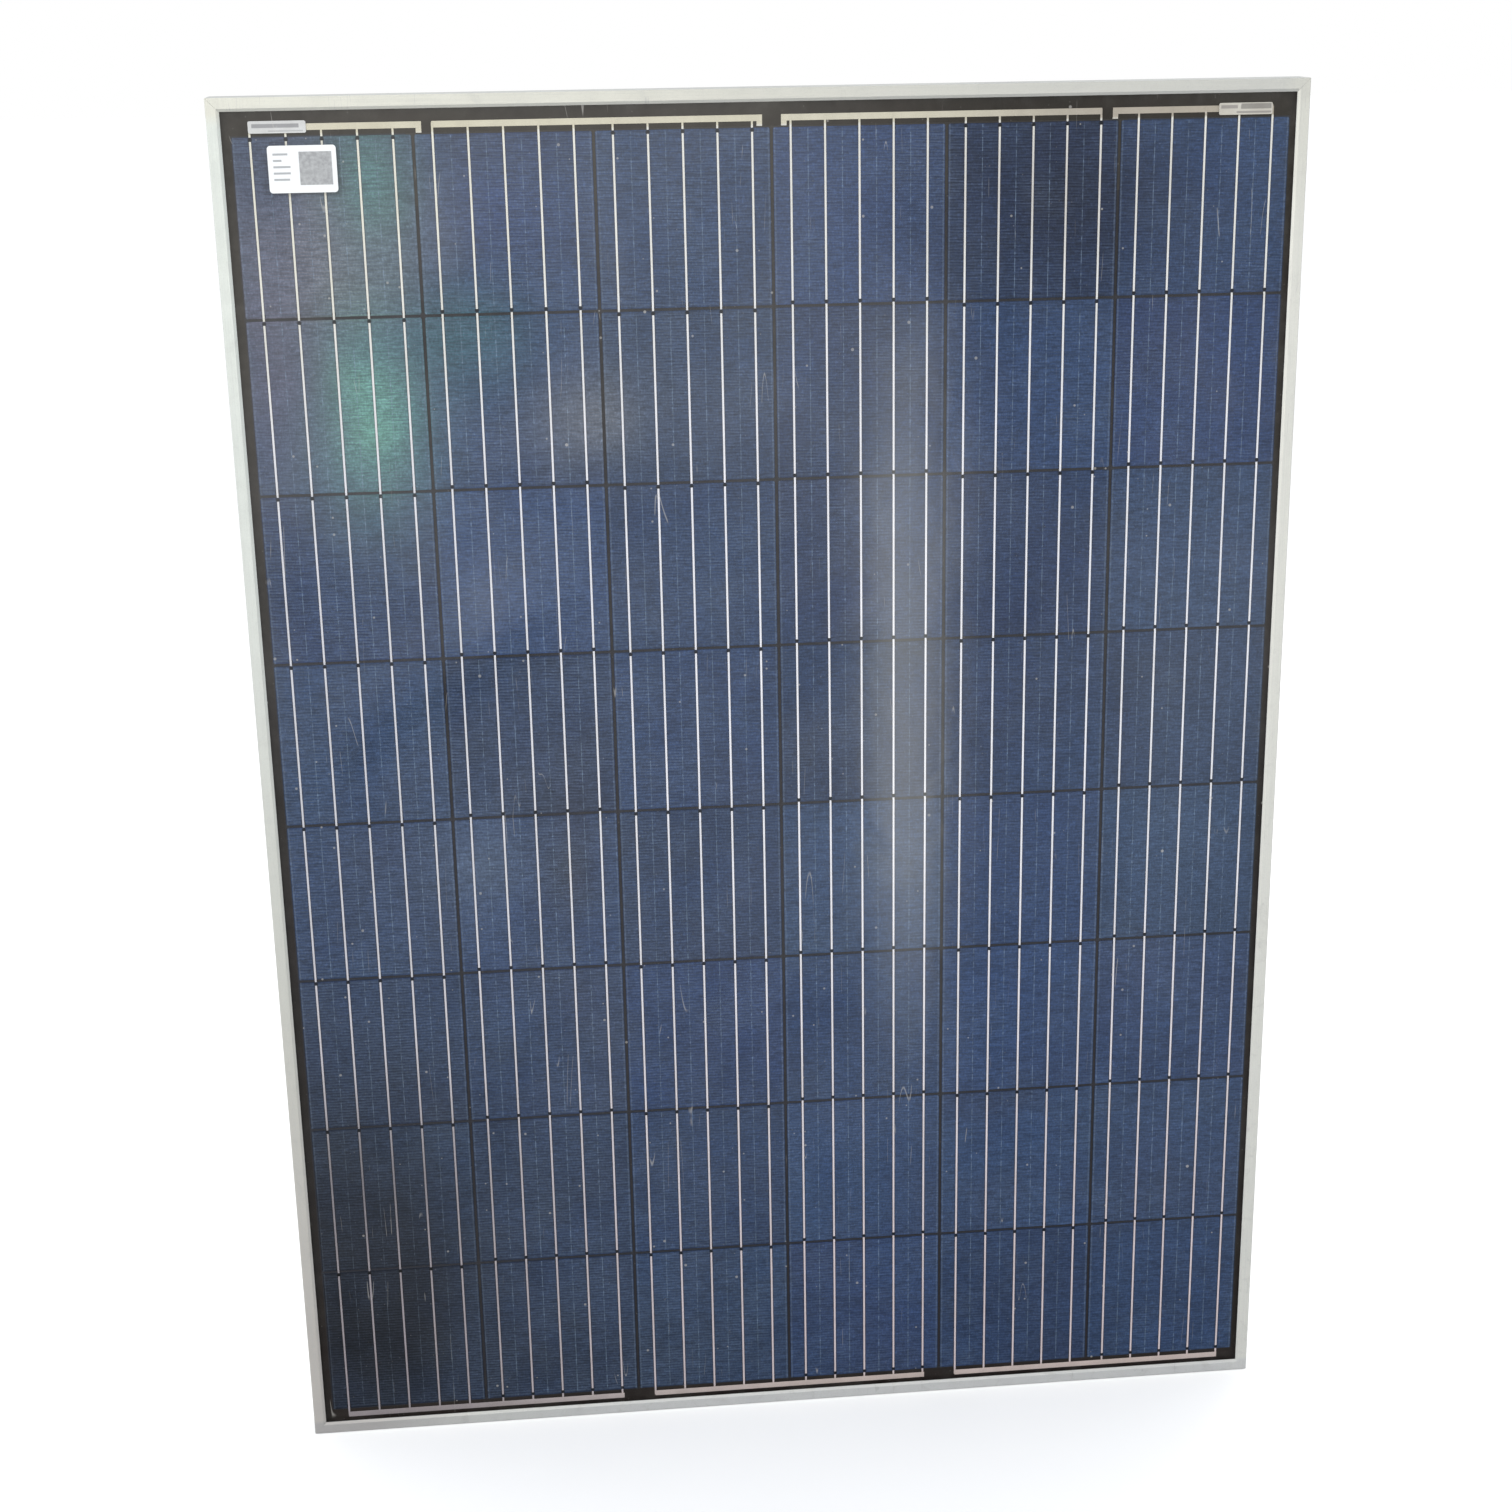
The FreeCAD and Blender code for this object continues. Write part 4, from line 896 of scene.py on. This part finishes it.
@material
def label_silver(mat):
    """Rear label: an empty ruled table with plain bars where entries would stand."""
    left, right, bottom, top = -0.330, -0.170, 1.060, 1.160
    margin = 0.006
    row_pitch = 0.0090
    column_x = -0.2440  # rule between the two columns
    right_entry_x = -0.2395
    tone, fibre = paper(mat, base=(0.60, 0.61, 0.62), worn=(0.52, 0.525, 0.52))
    row_place = (mat.z - bottom) / row_pitch
    from_row = from_lines(row_place, row_pitch)
    rule = from_row > 0.00435
    body = (mat.z > bottom + 0.010) * (mat.z < top - 0.026)
    between_margins = (mat.x > left + margin) * (mat.x < right - margin)
    column_rule = abs(mat.x - column_x) < 0.00022
    from_middle = abs(mat.x - (left + right) / 2)
    side_rules = abs(from_middle - ((right - left) / 2 - margin)) < 0.00025
    rules = (rule * between_margins).max(column_rule.max(side_rules)) * body
    # Bars of random length in both columns, cut by narrow gaps.
    row = row_place.floor()
    in_row = from_row < 0.0012
    left_length = mat.random(row, 2.0, 1.0) * 0.030 + 0.022
    right_length = mat.random(row, 7.0, 1.0) * 0.016 + 0.010
    left_place = mat.x - (left + 0.010)
    right_place = mat.x - right_entry_x
    dashes = (mat.x / 0.0130).fract() < 0.90
    left_bars = (left_place > 0.0) * (left_place - left_length < 0.0) * 1.0
    right_bars = (right_place > 0.0) * (right_place - right_length < 0.0)
    entries = left_bars.max(right_bars) * in_row * body * dashes
    heading = (mat.z > top - 0.018) * (mat.z < top - 0.008)
    heading *= (mat.x > left + margin) * (mat.x < left + 0.066)
    stain = mat.noise(26.0, detail=5.0, rough=0.7, distortion=0.6).step((0.56, 0.80))
    mat.solid(
        tone.coat(
            (rules * 0.80, (0.10, 0.10, 0.11)),
            (entries * 0.65, (0.16, 0.16, 0.17)),
            (heading * 0.55, (0.22, 0.24, 0.27)),
            (stain * 0.35, (0.50, 0.45, 0.36)),
        ),
        rough=fibre.step((0.3, 0.7), to=(0.38, 0.55)),
        height=fibre * 0.3 + mat.noise(35.0, detail=2.0),
        strength=0.3,
        distance=0.0001,
        bounce=(0.66, 0.66, 0.65),
    )


def plastic(mat, dark, light, rough, grain, strength, distance, dust):
    """Moulded plastic or rubber: grained, dusty where it looks up, with pale rubbed edges."""

    def paler(gain, lift):
        return tuple(min(1.0, part * gain + lift) for part in light)

    cloud = mat.noise(30.0, detail=4.0, rough=0.6)
    pits = mat.voronoi(grain * 0.8, feature="SMOOTH_F1")
    fine = mat.noise(grain, detail=3.0, rough=0.6)
    upward = mat.split(mat.geometry["Normal"])[2].step((0.15, 0.95))
    dirt = mat.noise(110.0, detail=5.0, rough=0.7).step((0.35, 0.75), to=(0.15, 1.0))
    dirt *= upward * dust + 0.05
    edge = mat.geometry["Pointiness"].step((0.52, 0.60))
    scratched = scratches(mat, 240, angle=0.7, width=0.012, keep=0.58, seed=4.4)
    mat.solid(
        cloud.ramp((0.3, dark), (0.7, light)).coat(
            (dirt, (0.36, 0.33, 0.28)),
            (edge * 0.35, paler(gain=3, lift=0.03)),
            (scratched * 0.25, paler(gain=4, lift=0.04)),
        ),
        rough=(cloud * 0.5 + fine * 0.5).step((0.35, 0.65), to=rough),
        height=pits * 0.5 + (fine * 0.5 + scratched * -0.3),
        strength=strength,
        distance=distance,
        bounce=light,
    )


def metal(mat, dark, light, rough, tarnish):
    """Bare metal with fine lines along Z and patches of tarnish."""
    cloud = mat.noise(220.0, detail=4.0, rough=0.6)
    fine = mat.noise(stretch=(3000, 3000, 240), detail=4.0, rough=0.65)
    tarnished = mat.noise(90.0, detail=5.0, rough=0.7).step((0.5, 0.8)) * 0.4
    mat.solid(
        cloud.ramp((0.3, dark), (0.7, light)).coat((tarnished, tarnish)),
        rough=fine.step((0.3, 0.7), to=rough),
        height=fine,
        strength=0.3,
        distance=0.00004,
        bounce=dark,
        Metallic=0.92,
    )


# Columns: name, dark and light tone, roughness range,
# then grain scale, bump strength, bump distance, dust.
PLASTICS = (
    ("box_plastic", (0.012, 0.012, 0.013), (0.026, 0.026, 0.027), (0.46, 0.66),
     1300.0, 0.55, 0.00008, 0.34),
    ("box_silicone", (0.55, 0.56, 0.55), (0.68, 0.68, 0.66), (0.35, 0.55),
     300.0, 0.6, 0.00018, 0.25),
    ("seal_rubber", (0.014, 0.014, 0.015), (0.028, 0.027, 0.027), (0.55, 0.75),
     900.0, 0.4, 0.00006, 0.18),
    ("cable_jacket", (0.011, 0.011, 0.012), (0.022, 0.022, 0.023), (0.38, 0.55),
     1100.0, 0.35, 0.00005, 0.20),
    ("connector_plastic", (0.010, 0.010, 0.011), (0.020, 0.020, 0.022), (0.30, 0.48),
     1500.0, 0.30, 0.00004, 0.22),
    ("clamp_plastic", (0.035, 0.036, 0.038), (0.060, 0.061, 0.064), (0.40, 0.58),
     1200.0, 0.4, 0.00005, 0.15),
    ("diode_body", (0.018, 0.018, 0.019), (0.032, 0.032, 0.033), (0.35, 0.50),
     800.0, 0.3, 0.00005, 0.10),
)
# Columns: name, dark and light tone, roughness range, tarnish colour.
METALS = (
    ("steel", (0.42, 0.42, 0.43), (0.60, 0.60, 0.61), (0.24, 0.42), (0.26, 0.22, 0.18)),
    ("terminal_metal", (0.60, 0.56, 0.48), (0.74, 0.71, 0.64), (0.28, 0.46), (0.42, 0.33, 0.22)),
)
for build, table in ((plastic, PLASTICS), (metal, METALS)):
    for name, *look in table:
        # The material comes first in the call, so the look is bound after it.
        BUILDERS[name] = partial(lambda mat, make, values: make(mat, *values),
                                 make=build, values=look)

built = {}
for name, build in BUILDERS.items():
    mat = Material(name)
    build(mat)
    built[name] = mat.material

slot_of = {part["node"]: part["material_slot"] for part in RECORD["subparts"]}
for name, piece in NODES.items():
    piece.data.materials.clear()
    piece.data.materials.append(built[slot_of[name]])
    if slot_of[name] in ("front_glass", "encapsulant"):
        # Clear layers: only the camera sees them, light passes freely.
        piece.visible_shadow = False
        piece.visible_diffuse = False
        piece.visible_glossy = False
        piece.visible_transmission = False


# ================================================================ leads


def mesh_object(name, mesh_data):
    """Turns a bmesh into a linked object and frees it."""
    mesh = bpy.data.meshes.new(name)
    mesh_data.to_mesh(mesh)
    mesh_data.free()
    made = bpy.data.objects.new(name, mesh)
    bpy.context.scene.collection.objects.link(made)
    return made


def tube(name, points, radii, sides):
    """A closed tube through points, with a radius at each."""
    mesh_data = bmesh.new()
    rings = []
    reference = Vector((0, 1, 0))
    for i, point in enumerate(points):
        before = Vector(points[max(i - 1, 0)])
        after = Vector(points[min(i + 1, len(points) - 1)])
        along = (after - before).normalized()
        first = (reference - along * reference.dot(along)).normalized()
        second = along.cross(first)
        reference = first
        ring = []
        for k in range(sides):
            angle = 2 * math.pi * k / sides
            spoke = (first * math.cos(angle) + second * math.sin(angle)) * radii[i]
            ring.append(mesh_data.verts.new(Vector(point) + spoke))
        rings.append(ring)
    for lower, upper in zip(rings, rings[1:]):
        for k in range(sides):
            following = (k + 1) % sides
            mesh_data.faces.new((lower[k], lower[following], upper[following], upper[k]))
    mesh_data.faces.new(list(reversed(rings[0])))
    mesh_data.faces.new(rings[-1])
    bmesh.ops.recalc_face_normals(mesh_data, faces=mesh_data.faces)
    made = mesh_object(name, mesh_data)
    for face in made.data.polygons:
        face.use_smooth = len(face.vertices) == 4
    return made


LEAD_X, LEAD_Y = 0.036, 0.0015
WAVY_TOP, WAVY_BOTTOM = 1.118, 0.300  # the leads waver between these heights


def lead_centre(z, lead_x, phase_1, phase_2):
    """The lead's middle at height z: it keeps a little of its coil set."""
    down = max(0.0, min(1.0, (WAVY_TOP - z) / (WAVY_TOP - WAVY_BOTTOM)))
    envelope = math.sin(math.pi * down) ** 2
    sway_x = 0.0030 * math.sin(7.0 * down + phase_1) + 0.0012 * math.sin(17.0 * down + phase_2)
    sway_y = 0.0016 * math.sin(9.0 * down + phase_2) + 0.0006 * math.sin(21.0 * down + phase_1)
    return (lead_x + envelope * sway_x, LEAD_Y + envelope * sway_y, z)


def cable_radius(z, phase):
    """3 mm with slight unevenness."""
    slow = 0.000035 * math.sin(z * 900.0) * math.sin(z * 37.0 + phase)
    return min(0.00300 + slow + 0.00002 * math.sin(z * 3100.0), 0.00304)


def core_radius(z):
    return 0.0011 + 0.00004 * math.sin(z * 2400.0)


def add_lead_part(part, side, replaced, stubs, slot, counts, sides, radius, centre):
    """One tube from the stubs' top to the bottom of the piece it replaces.

    counts: stations above, through and below the bend.
    """
    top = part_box(stubs)[1].z
    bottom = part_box(replaced)[0].z
    spans = ((top, 1.150), (1.148, 1.060), (1.056, bottom))
    heights = [z for span, count in zip(spans, counts) for z in np.linspace(*span, count)]
    points = [centre(z) for z in heights]
    made = tube(f"{part}_{side}", points, [radius(z) for z in heights], sides)
    made.data.materials.append(built[slot])
    lead_x = centre(top)[0]
    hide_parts(replaced, stubs)
    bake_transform(made)


for side, sign in (("left", -1), ("right", 1)):
    phase_1 = rng.uniform(0, 6.28)
    phase_2 = rng.uniform(0, 6.28)
    centre = partial(lead_centre, lead_x=sign * LEAD_X, phase_1=phase_1, phase_2=phase_2)
    add_lead_part(
        "lead_cable", side, f"lead_jacket_{side}", "cable_stubs", "cable_jacket",
        counts=(4, 60, 170), sides=32, radius=partial(cable_radius, phase=phase_1), centre=centre,
    )
    add_lead_part(
        "lead_core", side, f"lead_conductor_{side}", "conductor_stubs", "tinned_copper",
        counts=(6, 40, 110), sides=14, radius=core_radius, centre=centre,
    )

# ================================================================ floor, world, lights

FLOOR_HALF, FLOOR_Z = 30, -0.0006


def make_floor():
    mat = Material("studio_floor")
    cloud = mat.noise(3.0, detail=3.0).step((0.3, 0.7))
    tone = cloud.colours((0.930, 0.930, 0.930), (0.945, 0.945, 0.945))
    matt = mat.closure("BsdfDiffuse", Color=tone)
    lift = mat.glow((1, 1, 1), strength=0.14)
    mat.finish(mat.add("ShaderNodeAddShader", {0: matt, 1: lift}), bounce=(0.90, 0.90, 0.90))
    mesh_data = bmesh.new()
    corners = ((-1, -1), (1, -1), (1, 1), (-1, 1))
    mesh_data.faces.new(
        [mesh_data.verts.new((x * FLOOR_HALF, y * FLOOR_HALF, FLOOR_Z)) for x, y in corners]
    )
    floor = mesh_object("studio_floor", mesh_data)
    floor.data.materials.append(mat.material)
    floor.visible_glossy = False
    floor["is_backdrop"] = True


def make_world():
    """White to the camera, the soft room to glossy rays, pale blue-white to the rest."""
    world = bpy.data.worlds.new("studio")
    bpy.context.scene.world = world
    world.use_nodes = True
    shader = Shader(world.node_tree, "ShaderNodeOutputWorld", "Generated")

    def background(colour):
        return shader.closure("Background", Color=colour, Strength=1.0)

    rays = shader.outputs("ShaderNodeLightPath")
    glossy = background(room(shader, *shader.axes))
    others = rays["Is Glossy Ray"].closures(background((0.97, 0.985, 1.0)), glossy)
    shader.set_surface(rays["Is Camera Ray"].closures(others, background((1.0, 1.0, 1.0))))
    world.cycles.sampling_method = "NONE"


def area(name, place, target, size, power, colour):
    light = bpy.data.lights.new(name, "AREA")
    light.shape = "RECTANGLE"
    light.size, light.size_y = size
    light.energy = power
    light.color = colour
    lamp = bpy.data.objects.new(name, light)
    lamp.location = place
    aim = Vector(target) - Vector(place)
    lamp.rotation_euler = aim.to_track_quat("-Z", "Y").to_euler()
    bpy.context.scene.collection.objects.link(lamp)
    lamp.visible_glossy = False
    lamp.visible_camera = False
    lamp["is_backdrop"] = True


make_floor()
make_world()
# Columns: name, place, target, size, power in watts, colour.
for light_row in (
    ("key_soft", (-2.3, -2.2, 2.9), (0, 0, 0.7), (1.8, 1.8), 46.0, (1.0, 0.985, 0.96)),
    ("fill_soft", (2.6, -2.0, 1.6), (0, 0, 0.6), (1.6, 2.0), 16.0, (0.96, 0.98, 1.0)),
    ("rear_soft", (1.4, 2.6, 2.6), (0, 0, 0.7), (2.0, 1.6), 26.0, (1.0, 0.99, 0.97)),
):
    area(*light_row)

# ================================================================ camera and render

CAMERA_PLACE = (-0.25205, -2.40251, 1.42100)
CAMERA_RIGHT = Vector((0.993709, -0.111167, -0.013604))
CAMERA_DOWN = Vector((-0.049112, -0.323358, -0.945001))
CAMERA_FORWARD = Vector((0.100654, 0.939724, -0.326783))

scene = bpy.context.scene
camera_data = bpy.data.cameras.new("camera")
camera = bpy.data.objects.new("camera", camera_data)
scene.collection.objects.link(camera)
turn = Matrix((CAMERA_RIGHT, -CAMERA_DOWN, -CAMERA_FORWARD)).transposed().to_4x4()
camera.matrix_world = Matrix.Translation(CAMERA_PLACE) @ turn
camera_data.sensor_fit = "HORIZONTAL"
camera_data.sensor_width = 36.0
camera_data.lens = 61.368
camera_data.shift_x = -0.018985
camera_data.shift_y = 0.077270
camera_data.clip_start = 0.05
camera_data.clip_end = 120.0
scene.camera = camera

scene.view_settings.view_transform = "Standard"
scene.view_settings.look = "None"
scene.view_settings.exposure = 0.0
scene.view_settings.gamma = 1.0
scene.cycles.transparent_max_bounces = 24
scene.cycles.max_bounces = 4
scene.cycles.diffuse_bounces = 2
scene.cycles.glossy_bounces = 2
scene.cycles.transmission_bounces = 2
scene.cycles.use_denoising = True

# ================================================================ sizes, and done


def plain(bounds):
    """Bounds as plain lists of floats, whether for the whole or for each piece by name."""
    if isinstance(bounds, dict):
        return {name: plain(rows) for name, rows in bounds.items()}
    return [[float(value) for value in row] for row in bounds]


sizes = {"after_load": plain(BOUNDS_AT_LOAD), "before_finish": plain(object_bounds())}
